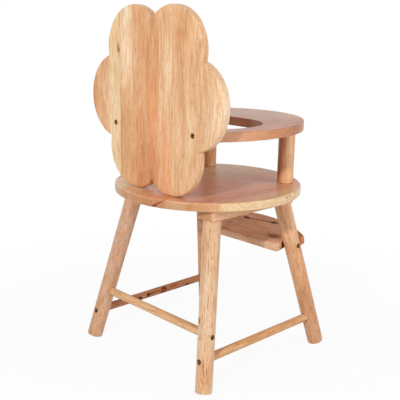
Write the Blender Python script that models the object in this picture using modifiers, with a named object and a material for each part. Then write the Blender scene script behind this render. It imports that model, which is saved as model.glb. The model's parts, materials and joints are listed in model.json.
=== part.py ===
"""A doll's wooden high chair, for Blender 4.5. Metres, +Z up, the sitter faces -Y and has +X on the left.

Four splayed round legs stand under two battens, the battens carry a round seat, and the seat
carries a flower-shaped back panel and two posts. A horseshoe tray runs from the panel to the
posts, a footrest spans the front legs, and three round stretchers tie the legs together.
"""

import math

import bmesh
import bpy
from mathutils import Matrix, Vector

# Fits and edges
FIT = 0.0003
OVERRUN = 0.004
CURVE_MERGE = 0.00005
BOARD_EASING = 0.002
EASING_STEPS = 2
ROD_EASING_STEPS = 1
EASED_ANGLE = math.radians(40)
CREASE_ANGLE = math.radians(35)
STRAIGHT_ANGLE = math.radians(0.5)
QUARTER_TURN = math.radians(90)

# Directions in the chair's frame
UP = Vector((0, 0, 1))
DOWN = Vector((0, 0, -1))
BACK = Vector((0, 1, 0))

# The legs: how far their tops' centres stand inside the seat's rim, height, splay and thickness
LEG_SIDE_INSET = 0.05528
LEG_FORE_INSET = 0.06711
LEG_HEIGHT = 0.2350
LEG_SPLAY_SIDE = 0.178
LEG_SPLAY_FORE = 0.218
LEG_FOOT_RADIUS = 0.0121
LEG_TOP_RADIUS = 0.0130
LEG_SIDES = 32
SOLE_EASING = 0.0014

# The battens between the leg tops and the seat
BATTEN_WIDTH = 0.034
BATTEN_THICKNESS = 0.016
BATTEN_LEG_OFFSET = 0.003
BATTEN_END_MARGIN = 0.0013
BATTEN_EASING = 0.0012

# The seat disc
SEAT_RADIUS = 0.1425
SEAT_THICKNESS = 0.0132
SEAT_EASING = 0.003
SEAT_SIDES = 88
SEAT_EASING_STEPS = 3

# The back panel: thickness, place and six lobes, whose heights are above the seat.
# The side lobes reach out as far as the seat does, less a margin.
PANEL_THICKNESS = 0.012
PANEL_INSET = 0.0302
TOP_LOBE_RADIUS = 0.059
TOP_LOBE_X = 0.041
TOP_LOBE_HEIGHT = 0.2003
SIDE_LOBE_RADIUS = 0.062
SIDE_LOBE_MARGIN = 0.001
SIDE_LOBE_HEIGHT = 0.1286
BOTTOM_LOBE_RADIUS = 0.0575
BOTTOM_LOBE_X = 0.039
BOTTOM_LOBE_FLAT_DEPTH = 0.001
LOBE_SEGMENTS = 20

# The tray: its top above the seat, its oval outline from the seat's rim, and its rounded opening
TRAY_HEIGHT = 0.0969
TRAY_THICKNESS = 0.0135
TRAY_SIDE_INSET = 0.003
TRAY_OVERHANG = 0.0065
TRAY_WIDEST_SETBACK = 0.005
TRAY_SEGMENTS = 30
TRAY_ARM_WIDTH = 0.033
TRAY_FRONT_WIDTH = 0.109
OPENING_FRONT_CORNER = 0.062
OPENING_REAR_CORNER = 0.076
OPENING_RUNOUT = 0.002
OPENING_SEGMENTS = 14
TRAY_SCREW_ARM_SHARE = 0.576

# The posts between the seat and the tray: how far inside the seat's rim, and at what angle from its front
POST_RADIUS = 0.0125
POST_INSET = 0.0237
POST_BEARING = math.radians(45)
POST_EASING = 0.0006

# The footrest, square to the front legs' forward splay: its middle's height at their centre lines,
# and its plan measured from those centre lines
FOOTREST_HEIGHT = 0.1675
FOOTREST_THICKNESS = 0.0130
FOOTREST_REAR = 0.0250
FOOTREST_FRONT = 0.0532
FOOTREST_WING_FRONT = 0.0220
FOOTREST_WING_REACH = 0.00777
FOOTREST_WING_CORNER = 0.006
FOOTREST_REAR_CORNER = 0.005
FOOTREST_END_LET_IN = 0.0024
FOOTREST_SHOULDER_LET_IN = 0.0012
FOOTREST_SEGMENTS = 16
CORNER_SEGMENTS = 6

# The stretchers
STRETCHER_RADIUS = 0.00625
STRETCHER_SOCKET_DEPTH = 0.005
STRETCHER_SIDES = 24
REAR_STRETCHER_HEIGHT = 0.0804
SIDE_STRETCHER_HEIGHT = 0.0472

# Countersunk wood screws
SCREW_HEAD_RADIUS = 0.0035
SCREW_SHANK_RADIUS = 0.00175
SCREW_HEAD_RIM = 0.0004
SCREW_HEAD_HEIGHT = 0.0026
SCREW_POINT = 0.005
SCREW_TIP_RADIUS = 0.0003
SCREW_SINK = 0.0003
LEG_SCREW_SINK = 0.0007
SLANTED_SCREW_SINK = 0.0012
SCREW_SIDES = 12
TRAY_SCREW_LENGTH = 0.027
STRETCHER_SCREW_LENGTH = 0.034
FOOTREST_SCREW_LENGTH = 0.038
BATTEN_SCREW_LENGTH = 0.024
LEG_SCREW_LENGTH = 0.045
PANEL_SCREW_LENGTH = 0.036
POST_SCREW_LENGTH = 0.036
BATTEN_SCREW_END_SHARE = 0.45

# The dowels between posts and tray
DOWEL_RADIUS = 0.004
DOWEL_IN_POST = 0.012
DOWEL_IN_TRAY = 0.0085
DOWEL_EASING = 0.0008
DOWEL_SIDES = 12

# Heights that follow from the stack of boards
BATTEN_BOTTOM = LEG_HEIGHT + FIT
BATTEN_TOP = BATTEN_BOTTOM + BATTEN_THICKNESS
SEAT_BOTTOM = BATTEN_TOP + FIT
SEAT_TOP = SEAT_BOTTOM + SEAT_THICKNESS
PANEL_BOTTOM = SEAT_TOP + FIT
TRAY_TOP = SEAT_TOP + TRAY_HEIGHT
TRAY_BOTTOM = TRAY_TOP - TRAY_THICKNESS
TRAY_MIDDLE = (TRAY_TOP + TRAY_BOTTOM) / 2

# Places that follow from the seat's rim
LEG_TOP_X = SEAT_RADIUS - LEG_SIDE_INSET
LEG_TOP_Y = SEAT_RADIUS - LEG_FORE_INSET
BATTEN_X = LEG_TOP_X - BATTEN_LEG_OFFSET
BATTEN_HALF_LENGTH = LEG_TOP_Y + LEG_TOP_RADIUS + BATTEN_END_MARGIN
PANEL_REAR = SEAT_RADIUS - PANEL_INSET
PANEL_FRONT = PANEL_REAR - PANEL_THICKNESS
PANEL_MIDDLE = (PANEL_REAR + PANEL_FRONT) / 2
SIDE_LOBE_X = SEAT_RADIUS - SIDE_LOBE_MARGIN - SIDE_LOBE_RADIUS
TRAY_HALF_WIDTH = SEAT_RADIUS - TRAY_SIDE_INSET
TRAY_FRONT = SEAT_RADIUS + TRAY_OVERHANG
TRAY_REAR = PANEL_FRONT - FIT
OPENING_HALF_WIDTH = TRAY_HALF_WIDTH - TRAY_ARM_WIDTH
OPENING_FRONT = TRAY_FRONT - TRAY_FRONT_WIDTH
POST_X = (SEAT_RADIUS - POST_INSET) * math.sin(POST_BEARING)
POST_Y = (POST_INSET - SEAT_RADIUS) * math.cos(POST_BEARING)

# The soles are square to the legs, so their centres lie above the floor that their inner rims touch
LEG_SPLAY = math.hypot(LEG_SPLAY_SIDE, LEG_SPLAY_FORE)
SOLE_HEIGHT = (LEG_FOOT_RADIUS - SOLE_EASING) * math.sin(math.atan(LEG_SPLAY))

# The origin is under the middle of the whole chair, from the seat's rear to the tray's front
CHAIR_SETBACK = TRAY_OVERHANG / 2

# Finishes as colour, roughness and metallic value
FINISHES = {
    "board_wood": ((0.80, 0.52, 0.30, 1.0), 0.45, 0.0),
    "turned_wood": ((0.78, 0.53, 0.33, 1.0), 0.48, 0.0),
    "batten_wood": ((0.74, 0.47, 0.27, 1.0), 0.55, 0.0),
    "screw_steel": ((0.10, 0.08, 0.05, 1.0), 0.42, 0.9),
}

SIDES = {"left": 1, "right": -1}
ENDS = {"rear": 1, "front": -1}


def clear_scene():
    """Remove what the new file starts with."""
    for thing in list(bpy.data.objects):
        bpy.data.objects.remove(thing, do_unlink=True)


def new_collection(name):
    """A collection linked to the scene."""
    group = bpy.data.collections.new(name)
    bpy.context.scene.collection.children.link(group)
    return group


def finish_material(name):
    """A Principled material of the finish's name, made once."""
    material = bpy.data.materials.get(name)
    if material is None:
        colour, roughness, metallic = FINISHES[name]
        material = bpy.data.materials.new(name)
        material.use_nodes = True
        shader = material.node_tree.nodes["Principled BSDF"]
        shader.inputs["Base Color"].default_value = colour
        shader.inputs["Roughness"].default_value = roughness
        shader.inputs["Metallic"].default_value = metallic
    return material


def add_part(name, mesh, finish, place=Matrix()):
    """An object of the chair, standing in the chair's own frame."""
    mesh.materials.clear()
    mesh.materials.append(finish_material(finish))
    part = bpy.data.objects.new(name, mesh)
    PARTS.objects.link(part)
    part.parent = CHAIR
    part.matrix_local = place
    return part


def add_cutter(name, mesh, place):
    """A tool for Boolean cuts, which isn't a part of the chair."""
    cutter = bpy.data.objects.new(name, mesh)
    CUTTERS.objects.link(cutter)
    cutter.parent = CHAIR
    cutter.matrix_local = place
    cutter.hide_render = True
    cutter.display_type = "WIRE"
    return cutter


def cut(part, cutter):
    """Take the cutter's shape out of the part."""
    boolean = part.modifiers.new("cut by " + cutter.name, "BOOLEAN")
    boolean.operation = "DIFFERENCE"
    boolean.solver = "EXACT"
    boolean.object = cutter


def ease_edges(part, width, steps):
    """Round every sharp edge of a board."""
    bevel = part.modifiers.new("eased edges", "BEVEL")
    bevel.width = width
    bevel.segments = steps
    bevel.limit_method = "ANGLE"
    bevel.angle_limit = EASED_ANGLE


def shade_round(mesh):
    """Smooth shading that keeps the corners crisp."""
    mesh.shade_smooth()
    mesh.set_sharp_from_angle(angle=CREASE_ANGLE)


def towards(start, direction):
    """The placing that takes the origin to start and +Z to direction."""
    turn = Vector(direction).to_track_quat("Z", "Y").to_matrix().to_4x4()
    return Matrix.Translation(Vector(start)) @ turn


def rod_mesh(name, low_radius, high_radius, low, high, sides):
    """A straight or tapered round bar along Z from low to high."""
    form = bmesh.new()
    bmesh.ops.create_cone(form, cap_ends=True, segments=sides, radius1=low_radius,
                          radius2=high_radius, depth=high - low)
    bmesh.ops.translate(form, verts=form.verts, vec=(0, 0, (low + high) / 2))
    mesh = bpy.data.meshes.new(name)
    form.to_mesh(mesh)
    form.free()
    shade_round(mesh)
    return mesh


def box_mesh(name, size):
    """A box of the given size about the origin."""
    form = bmesh.new()
    bmesh.ops.create_cube(form, size=1)
    bmesh.ops.scale(form, verts=form.verts, vec=size)
    mesh = bpy.data.meshes.new(name)
    form.to_mesh(mesh)
    form.free()
    return mesh


def board_mesh(name, outline, thickness):
    """A flat board in the XY plane, cut to a closed outline, half its thickness to each side."""
    curve = bpy.data.curves.new(name, "CURVE")
    curve.dimensions = "2D"
    curve.fill_mode = "BOTH"
    curve.extrude = thickness / 2
    spline = curve.splines.new("POLY")
    spline.points.add(len(outline) - 1)
    for point, (x, y) in zip(spline.points, outline):
        point.co = (x, y, 0, 1)
    spline.use_cyclic_u = True
    drawn = bpy.data.objects.new(name, curve)
    bpy.context.scene.collection.objects.link(drawn)
    depsgraph = bpy.context.evaluated_depsgraph_get()
    mesh = bpy.data.meshes.new_from_object(drawn.evaluated_get(depsgraph))
    bpy.data.objects.remove(drawn, do_unlink=True)
    bpy.data.curves.remove(curve)
    form = bmesh.new()
    form.from_mesh(mesh)
    bmesh.ops.remove_doubles(form, verts=form.verts, dist=CURVE_MERGE)
    bmesh.ops.dissolve_limit(form, angle_limit=STRAIGHT_ANGLE, verts=form.verts, edges=form.edges)
    bmesh.ops.recalc_face_normals(form, faces=form.faces)
    form.to_mesh(mesh)
    form.free()
    shade_round(mesh)
    return mesh


def turned_mesh(name, profile, sides):
    """A turned shape from a profile of (radius, height) that runs down its outer side."""
    mesh = bpy.data.meshes.new(name)
    points = [(radius, 0, height) for radius, height in profile]
    links = [(i, i + 1) for i in range(len(points) - 1)]
    mesh.from_pydata(points, links, [])
    lathe = bpy.data.objects.new(name, mesh)
    bpy.context.scene.collection.objects.link(lathe)
    spin = lathe.modifiers.new("turning", "SCREW")
    spin.axis = "Z"
    spin.angle = math.tau
    spin.steps = sides
    spin.render_steps = sides
    spin.use_merge_vertices = True
    spin.merge_threshold = CURVE_MERGE
    depsgraph = bpy.context.evaluated_depsgraph_get()
    turned = bpy.data.meshes.new_from_object(lathe.evaluated_get(depsgraph))
    bpy.data.objects.remove(lathe, do_unlink=True)
    bpy.data.meshes.remove(mesh)
    shade_round(turned)
    return turned


def arc(centre, radius, start, end, segments):
    """Points along an arc, both ends included."""
    points = []
    for step in range(segments + 1):
        angle = start + (end - start) * step / segments
        points.append((centre[0] + radius * math.cos(angle), centre[1] + radius * math.sin(angle)))
    return points


def angle_to(centre, point):
    """The direction from a centre to a point."""
    return math.atan2(point[1] - centre[1], point[0] - centre[0])


def crossing(first, first_radius, second, second_radius):
    """Where two circles cross, on the side with the larger X."""
    gap = math.dist(first, second)
    along = (first_radius ** 2 - second_radius ** 2 + gap ** 2) / (2 * gap)
    away = math.sqrt(first_radius ** 2 - along ** 2)
    ux = (second[0] - first[0]) / gap
    uy = (second[1] - first[1]) / gap
    one = (first[0] + along * ux - away * uy, first[1] + along * uy + away * ux)
    other = (first[0] + along * ux + away * uy, first[1] + along * uy - away * ux)
    return max(one, other)


def mirrored(half):
    """A half outline at +X, joined to its mirror image."""
    return half + [(-x, y) for x, y in reversed(half) if x > CURVE_MERGE]


def leg_axis(side, end, height):
    """The point of a leg's centre line at a height."""
    below_top = LEG_HEIGHT - height
    return Vector((side * (LEG_TOP_X + LEG_SPLAY_SIDE * below_top),
                   end * (LEG_TOP_Y + LEG_SPLAY_FORE * below_top), height))


def leg_direction(side, end):
    """The upward direction of a leg's centre line."""
    return (leg_axis(side, end, LEG_HEIGHT) - leg_axis(side, end, 0)).normalized()


def leg_radius(height):
    """The leg's radius at a height."""
    return LEG_FOOT_RADIUS + (LEG_TOP_RADIUS - LEG_FOOT_RADIUS) * height / LEG_HEIGHT


def leg_placing(side, end):
    """The placing of a leg: its sole's centre at the origin, +Z along it and +X outward and up."""
    sole = leg_axis(side, end, SOLE_HEIGHT)
    along = leg_direction(side, end)
    across = along.cross(UP).normalized()
    outward = across.cross(along)
    turn = Matrix((outward, across, along)).transposed().to_4x4()
    return Matrix.Translation(sole) @ turn


def leg_mesh(name, grow):
    """A tapered bar from the eased sole to beyond the leg's top, thicker by grow."""
    length = (leg_axis(1, 1, LEG_HEIGHT) - leg_axis(1, 1, SOLE_HEIGHT)).length
    taper = (leg_radius(LEG_HEIGHT) - leg_radius(SOLE_HEIGHT)) / length
    high = length + LEG_TOP_RADIUS
    foot_radius = leg_radius(SOLE_HEIGHT) + grow
    profile = [
        (0, high),
        (foot_radius + taper * high, high),
        (foot_radius + taper * SOLE_EASING, SOLE_EASING),
        (foot_radius - SOLE_EASING, 0),
        (0, 0),
    ]
    return turned_mesh(name, profile, LEG_SIDES)


def trim_top(mesh, placing):
    """Cut a placed leg off level under its batten and close the cut."""
    back = placing.inverted()
    normal = (back.to_3x3() @ UP).normalized()
    point = back @ (UP * LEG_HEIGHT)
    form = bmesh.new()
    form.from_mesh(mesh)
    everything = form.verts[:] + form.edges[:] + form.faces[:]
    result = bmesh.ops.bisect_plane(form, geom=everything, plane_co=point, plane_no=normal, clear_outer=True)
    rim = [item for item in result["geom_cut"] if isinstance(item, bmesh.types.BMEdge)]
    bmesh.ops.contextual_create(form, geom=rim)
    bmesh.ops.recalc_face_normals(form, faces=form.faces)
    form.to_mesh(mesh)
    form.free()


def make_legs():
    """Four splayed legs, soles cut square and tops cut level."""
    legs = {}
    for end_name, end in ENDS.items():
        for side_name, side in SIDES.items():
            name = "leg_" + end_name + "_" + side_name
            placing = leg_placing(side, end)
            mesh = leg_mesh(name, 0)
            trim_top(mesh, placing)
            shade_round(mesh)
            legs[side, end] = add_part(name, mesh, "turned_wood", placing)
    return legs


def make_battens():
    """Two boards that join each side's leg tops under the seat."""
    battens = {}
    for side_name, side in SIDES.items():
        mesh = box_mesh("batten_" + side_name, (BATTEN_WIDTH, 2 * BATTEN_HALF_LENGTH, BATTEN_THICKNESS))
        middle = (side * BATTEN_X, 0, (BATTEN_BOTTOM + BATTEN_TOP) / 2)
        batten = add_part("batten_" + side_name, mesh, "batten_wood", Matrix.Translation(middle))
        ease_edges(batten, BATTEN_EASING, EASING_STEPS)
        battens[side_name] = batten
    return battens


def make_seat():
    """The round seat."""
    mesh = rod_mesh("seat", SEAT_RADIUS, SEAT_RADIUS, -SEAT_THICKNESS / 2, SEAT_THICKNESS / 2, SEAT_SIDES)
    seat = add_part("seat", mesh, "board_wood", Matrix.Translation((0, 0, (SEAT_BOTTOM + SEAT_TOP) / 2)))
    ease_edges(seat, SEAT_EASING, SEAT_EASING_STEPS)
    return seat


def panel_outline():
    """The flower shape of the back panel: x, and height above the panel's foot."""
    top = (TOP_LOBE_X, TOP_LOBE_HEIGHT)
    side = (SIDE_LOBE_X, SIDE_LOBE_HEIGHT)
    bottom = (BOTTOM_LOBE_X, BOTTOM_LOBE_RADIUS - BOTTOM_LOBE_FLAT_DEPTH)
    top_notch = (0, top[1] + math.sqrt(TOP_LOBE_RADIUS ** 2 - top[0] ** 2))
    bottom_notch = (0, bottom[1] - math.sqrt(BOTTOM_LOBE_RADIUS ** 2 - bottom[0] ** 2))
    high_waist = crossing(top, TOP_LOBE_RADIUS, side, SIDE_LOBE_RADIUS)
    low_waist = crossing(side, SIDE_LOBE_RADIUS, bottom, BOTTOM_LOBE_RADIUS)
    half_flat = math.sqrt(BOTTOM_LOBE_RADIUS ** 2 - bottom[1] ** 2)
    flat_outer = (bottom[0] + half_flat, 0)
    flat_inner = (bottom[0] - half_flat, 0)
    half = arc(top, TOP_LOBE_RADIUS, angle_to(top, top_notch), angle_to(top, high_waist), LOBE_SEGMENTS)
    half += arc(side, SIDE_LOBE_RADIUS, angle_to(side, high_waist), angle_to(side, low_waist),
                LOBE_SEGMENTS)[1:]
    half += arc(bottom, BOTTOM_LOBE_RADIUS, angle_to(bottom, low_waist), angle_to(bottom, flat_outer),
                LOBE_SEGMENTS // 2)[1:]
    half += arc(bottom, BOTTOM_LOBE_RADIUS, angle_to(bottom, flat_inner), angle_to(bottom, bottom_notch),
                CORNER_SEGMENTS)
    return mirrored(half)


def make_panel():
    """The flower-shaped back, standing on the seat."""
    mesh = board_mesh("back_panel", panel_outline(), PANEL_THICKNESS)
    standing = Matrix.Translation((0, PANEL_MIDDLE, PANEL_BOTTOM)) @ Matrix.Rotation(QUARTER_TURN, 4, "X")
    panel = add_part("back_panel", mesh, "board_wood", standing)
    ease_edges(panel, BOARD_EASING, EASING_STEPS)
    return panel


def tray_arm_screw_x():
    """Where a screw enters the rear end of the tray's arm, between the opening and the outer edge."""
    drop = OPENING_REAR_CORNER - OPENING_RUNOUT
    inner = OPENING_HALF_WIDTH - OPENING_REAR_CORNER + math.sqrt(OPENING_REAR_CORNER ** 2 - drop ** 2)
    reach = TRAY_FRONT + TRAY_WIDEST_SETBACK
    outer = TRAY_HALF_WIDTH * math.sqrt(1 - ((TRAY_REAR - TRAY_WIDEST_SETBACK) / reach) ** 2)
    return inner + (outer - inner) * TRAY_SCREW_ARM_SHARE


def tray_outline():
    """The horseshoe: an oval cut off at the panel, with a rounded opening for the sitter."""
    reach = TRAY_FRONT + TRAY_WIDEST_SETBACK
    last = math.acos((TRAY_WIDEST_SETBACK - TRAY_REAR) / reach)
    half = []
    for step in range(TRAY_SEGMENTS + 1):
        angle = last * step / TRAY_SEGMENTS
        half.append((TRAY_HALF_WIDTH * math.sin(angle), TRAY_WIDEST_SETBACK - reach * math.cos(angle)))
    rear_centre = (OPENING_HALF_WIDTH - OPENING_REAR_CORNER,
                   TRAY_REAR + OPENING_RUNOUT - OPENING_REAR_CORNER)
    front_centre = (OPENING_HALF_WIDTH - OPENING_FRONT_CORNER, OPENING_FRONT_CORNER - OPENING_FRONT)
    mouth = math.asin((OPENING_REAR_CORNER - OPENING_RUNOUT) / OPENING_REAR_CORNER)
    half += arc(rear_centre, OPENING_REAR_CORNER, mouth, 0, OPENING_SEGMENTS)
    half += arc(front_centre, OPENING_FRONT_CORNER, 0, -QUARTER_TURN, OPENING_SEGMENTS)
    half.append((0, -OPENING_FRONT))
    return mirrored(half)


def make_tray():
    """The tray, its two arms butted against the panel."""
    mesh = board_mesh("tray", tray_outline(), TRAY_THICKNESS)
    tray = add_part("tray", mesh, "board_wood", Matrix.Translation((0, 0, TRAY_MIDDLE)))
    ease_edges(tray, BOARD_EASING, EASING_STEPS)
    return tray


def make_posts():
    """Two upright round posts between the seat and the tray."""
    posts = {}
    length = TRAY_BOTTOM - SEAT_TOP - 2 * FIT
    for side_name, side in SIDES.items():
        name = "post_" + side_name
        mesh = rod_mesh(name, POST_RADIUS, POST_RADIUS, 0, length, LEG_SIDES)
        stand = Matrix.Translation((side * POST_X, POST_Y, SEAT_TOP + FIT))
        post = add_part(name, mesh, "turned_wood", stand)
        ease_edges(post, POST_EASING, ROD_EASING_STEPS)
        posts[side_name] = post
    return posts


def leg_reach(side, end, height, direction):
    """How far the leg's surface lies from its centre line, measured along a level direction."""
    return leg_radius(height) / direction.cross(leg_direction(side, end)).length


def footrest_end():
    """Half the footrest's length between the front legs, let into them a little."""
    inner_face = leg_axis(1, -1, FOOTREST_HEIGHT).x - leg_reach(1, -1, FOOTREST_HEIGHT, Vector((1, 0, 0)))
    return inner_face + FOOTREST_END_LET_IN


def footrest_outline():
    """A half-moon whose rear corners are cut away, so that its wings reach round the legs' front."""
    end = footrest_end()
    half_width = leg_axis(1, -1, FOOTREST_HEIGHT).x + FOOTREST_WING_REACH
    shoulder = FOOTREST_SHOULDER_LET_IN - leg_radius(FOOTREST_HEIGHT)
    bow = FOOTREST_FRONT - FOOTREST_WING_FRONT
    arc_radius = (half_width ** 2 + bow ** 2) / (2 * bow)
    centre = (0, arc_radius - FOOTREST_FRONT)
    wing_x = half_width - FOOTREST_WING_CORNER
    wing_radius = arc_radius - FOOTREST_WING_CORNER
    wing_corner = (wing_x, centre[1] - math.sqrt(wing_radius ** 2 - wing_x ** 2))
    meeting = angle_to(centre, wing_corner)
    rear_corner = (end - FOOTREST_REAR_CORNER, FOOTREST_REAR - FOOTREST_REAR_CORNER)
    half = arc(centre, arc_radius, -QUARTER_TURN, meeting, FOOTREST_SEGMENTS)
    half[0] = (0, -FOOTREST_FRONT)
    half += arc(wing_corner, FOOTREST_WING_CORNER, meeting, 0, CORNER_SEGMENTS)[1:]
    half += [(half_width, shoulder), (end, shoulder)]
    half += arc(rear_corner, FOOTREST_REAR_CORNER, 0, QUARTER_TURN, CORNER_SEGMENTS)
    half.append((0, FOOTREST_REAR))
    return mirrored(half)


def make_footrest():
    """The footrest, tilted square to the front legs and scalloped where it meets their round sides."""
    mesh = board_mesh("footrest", footrest_outline(), FOOTREST_THICKNESS)
    middle = (0, leg_axis(1, -1, FOOTREST_HEIGHT).y, FOOTREST_HEIGHT)
    tilted = Matrix.Translation(middle) @ Matrix.Rotation(-math.atan(LEG_SPLAY_FORE), 4, "X")
    footrest = add_part("footrest", mesh, "board_wood", tilted)
    ease_edges(footrest, BOARD_EASING, EASING_STEPS)
    for side_name, side in SIDES.items():
        mesh = leg_mesh("scallop_" + side_name, FIT)
        cut(footrest, add_cutter("scallop_" + side_name, mesh, leg_placing(side, -1)))
    return footrest


def screw_profile(length, grow, head_overrun):
    """The outline of a countersunk screw: radius, and height under the head's face."""
    return [
        (0, head_overrun),
        (SCREW_HEAD_RADIUS + grow, head_overrun),
        (SCREW_HEAD_RADIUS + grow, -SCREW_HEAD_RIM - grow),
        (SCREW_SHANK_RADIUS + grow, -SCREW_HEAD_HEIGHT - grow),
        (SCREW_SHANK_RADIUS + grow, SCREW_POINT - length - grow),
        (SCREW_TIP_RADIUS + grow, -length - grow),
        (0, -length - grow),
    ]


def drive_screw(name, face, outward, length, pieces):
    """A screw whose head's face is at a point, in a hole through the pieces that it joins."""
    shape = "screw_" + str(round(length * 1000)) + "_mm"
    mesh = bpy.data.meshes.get(shape) or turned_mesh(shape, screw_profile(length, 0, 0), SCREW_SIDES)
    placing = towards(face, outward)
    add_part(name, mesh, "screw_steel", placing)
    hole = turned_mesh("hole_" + name, screw_profile(length, FIT, OVERRUN), SCREW_SIDES)
    cutter = add_cutter("hole_" + name, hole, placing)
    for piece in pieces:
        cut(piece, cutter)


def make_stretcher(name, ends, level, legs):
    """A round bar let into blind sockets in two legs, with a screw through each leg into its end."""
    start, finish = (leg_axis(*corner, level) for corner in ends.values())
    direction = (finish - start).normalized()
    reach = leg_reach(*ends[next(iter(ends))], level, direction)
    socket = reach - STRETCHER_SOCKET_DEPTH
    length = (finish - start).length - 2 * socket
    mesh = rod_mesh(name, STRETCHER_RADIUS, STRETCHER_RADIUS, 0, length, STRETCHER_SIDES)
    bar = add_part(name, mesh, "turned_wood", towards(start + direction * socket, direction))
    inwards = (direction, -direction)
    for end_name, corner, centre, inward in zip(ends, ends.values(), (start, finish), inwards):
        label = name + "_" + end_name
        bore = rod_mesh("socket_" + label, STRETCHER_RADIUS + FIT, STRETCHER_RADIUS + FIT, -FIT,
                        STRETCHER_SOCKET_DEPTH + OVERRUN, STRETCHER_SIDES)
        cut(legs[corner], add_cutter("socket_" + label, bore, towards(centre + inward * socket, inward)))
        face = centre - inward * (reach - LEG_SCREW_SINK)
        drive_screw("screw_" + label, face, -inward, STRETCHER_SCREW_LENGTH, (legs[corner], bar))


def make_stretchers(legs):
    """One stretcher at the rear and one on each side."""
    rear_ends = {side_name: (side, 1) for side_name, side in SIDES.items()}
    make_stretcher("stretcher_rear", rear_ends, REAR_STRETCHER_HEIGHT, legs)
    for side_name, side in SIDES.items():
        side_ends = {end_name: (side, end) for end_name, end in ENDS.items()}
        make_stretcher("stretcher_" + side_name, side_ends, SIDE_STRETCHER_HEIGHT, legs)


def join_seat(seat, battens, legs):
    """Screws from the battens up into the seat and down into the leg tops."""
    for side_name, side in SIDES.items():
        batten = battens[side_name]
        for end_name, end in ENDS.items():
            corner = end_name + "_" + side_name
            place = (side * BATTEN_X, end * BATTEN_HALF_LENGTH * BATTEN_SCREW_END_SHARE,
                     BATTEN_BOTTOM + SCREW_SINK)
            drive_screw("screw_seat_" + corner, place, DOWN, BATTEN_SCREW_LENGTH, (batten, seat))
            along = leg_direction(side, end)
            place = leg_axis(side, end, BATTEN_TOP) - along * SLANTED_SCREW_SINK
            drive_screw("screw_leg_" + corner, place, along, LEG_SCREW_LENGTH, (batten, legs[side, end]))


def join_panel(panel, seat, tray):
    """Screws through the seat into the panel's foot, and through the panel into the tray's arms."""
    for side_name, side in SIDES.items():
        place = (side * BOTTOM_LOBE_X, PANEL_MIDDLE, SEAT_BOTTOM + SCREW_SINK)
        drive_screw("screw_panel_" + side_name, place, DOWN, PANEL_SCREW_LENGTH, (seat, panel))
        place = (side * tray_arm_screw_x(), PANEL_REAR - SCREW_SINK, TRAY_MIDDLE)
        drive_screw("screw_tray_" + side_name, place, BACK, TRAY_SCREW_LENGTH, (panel, tray))


def join_posts(posts, seat, tray):
    """A screw through the seat into each post's foot, and a dowel from its top into the tray."""
    for side_name, side in SIDES.items():
        post = posts[side_name]
        place = (side * POST_X, POST_Y, SEAT_BOTTOM + SCREW_SINK)
        drive_screw("screw_post_" + side_name, place, DOWN, POST_SCREW_LENGTH, (seat, post))
        post_top = TRAY_BOTTOM - FIT
        name = "dowel_" + side_name
        mesh = rod_mesh(name, DOWEL_RADIUS, DOWEL_RADIUS, -DOWEL_IN_POST, DOWEL_IN_TRAY, DOWEL_SIDES)
        stand = Matrix.Translation((side * POST_X, POST_Y, post_top))
        dowel = add_part(name, mesh, "turned_wood", stand)
        ease_edges(dowel, DOWEL_EASING, ROD_EASING_STEPS)
        bore = rod_mesh("bore_" + side_name, DOWEL_RADIUS + FIT, DOWEL_RADIUS + FIT, -DOWEL_IN_POST - FIT,
                        DOWEL_IN_TRAY + FIT, DOWEL_SIDES)
        cutter = add_cutter("bore_" + side_name, bore, stand)
        cut(post, cutter)
        cut(tray, cutter)


def join_footrest(footrest, legs):
    """A screw through each front leg into the footrest's end."""
    for side_name, side in SIDES.items():
        outward = Vector((side, 0, 0))
        reach = leg_reach(side, -1, FOOTREST_HEIGHT, outward)
        face = leg_axis(side, -1, FOOTREST_HEIGHT) + outward * (reach - LEG_SCREW_SINK)
        pieces = (legs[side, -1], footrest)
        drive_screw("screw_footrest_" + side_name, face, outward, FOOTREST_SCREW_LENGTH, pieces)


def main():
    """Build the pieces, then join them."""
    legs = make_legs()
    battens = make_battens()
    seat = make_seat()
    panel = make_panel()
    tray = make_tray()
    posts = make_posts()
    footrest = make_footrest()
    make_stretchers(legs)
    join_seat(seat, battens, legs)
    join_panel(panel, seat, tray)
    join_posts(posts, seat, tray)
    join_footrest(footrest, legs)
    print("chair built with", len([part for part in PARTS.objects if part.type == "MESH"]), "pieces")


clear_scene()
PARTS = new_collection("doll_high_chair")
CUTTERS = new_collection("cutters")
CHAIR = bpy.data.objects.new("chair_frame", None)
PARTS.objects.link(CHAIR)
CHAIR.location = (0, CHAIR_SETBACK, 0)
main()
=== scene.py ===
# %% [markdown]
# # A doll's wooden high chair
#
# The chair is a small piece of furniture: splayed round legs, thin stretchers, a round seat, a back
# board shaped like a flower, a horseshoe tray on two posts and a tilted footrest. All its shapes are
# simple, so the work is in the wood: boards glued from staves, grain that follows each bar, satin
# edges and dark screws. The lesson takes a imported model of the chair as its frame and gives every
# piece a finer surface and its own wood.

# %% Load the frame
import json
import math

import bmesh
import bpy
from mathutils import Color, Matrix, Vector

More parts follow.
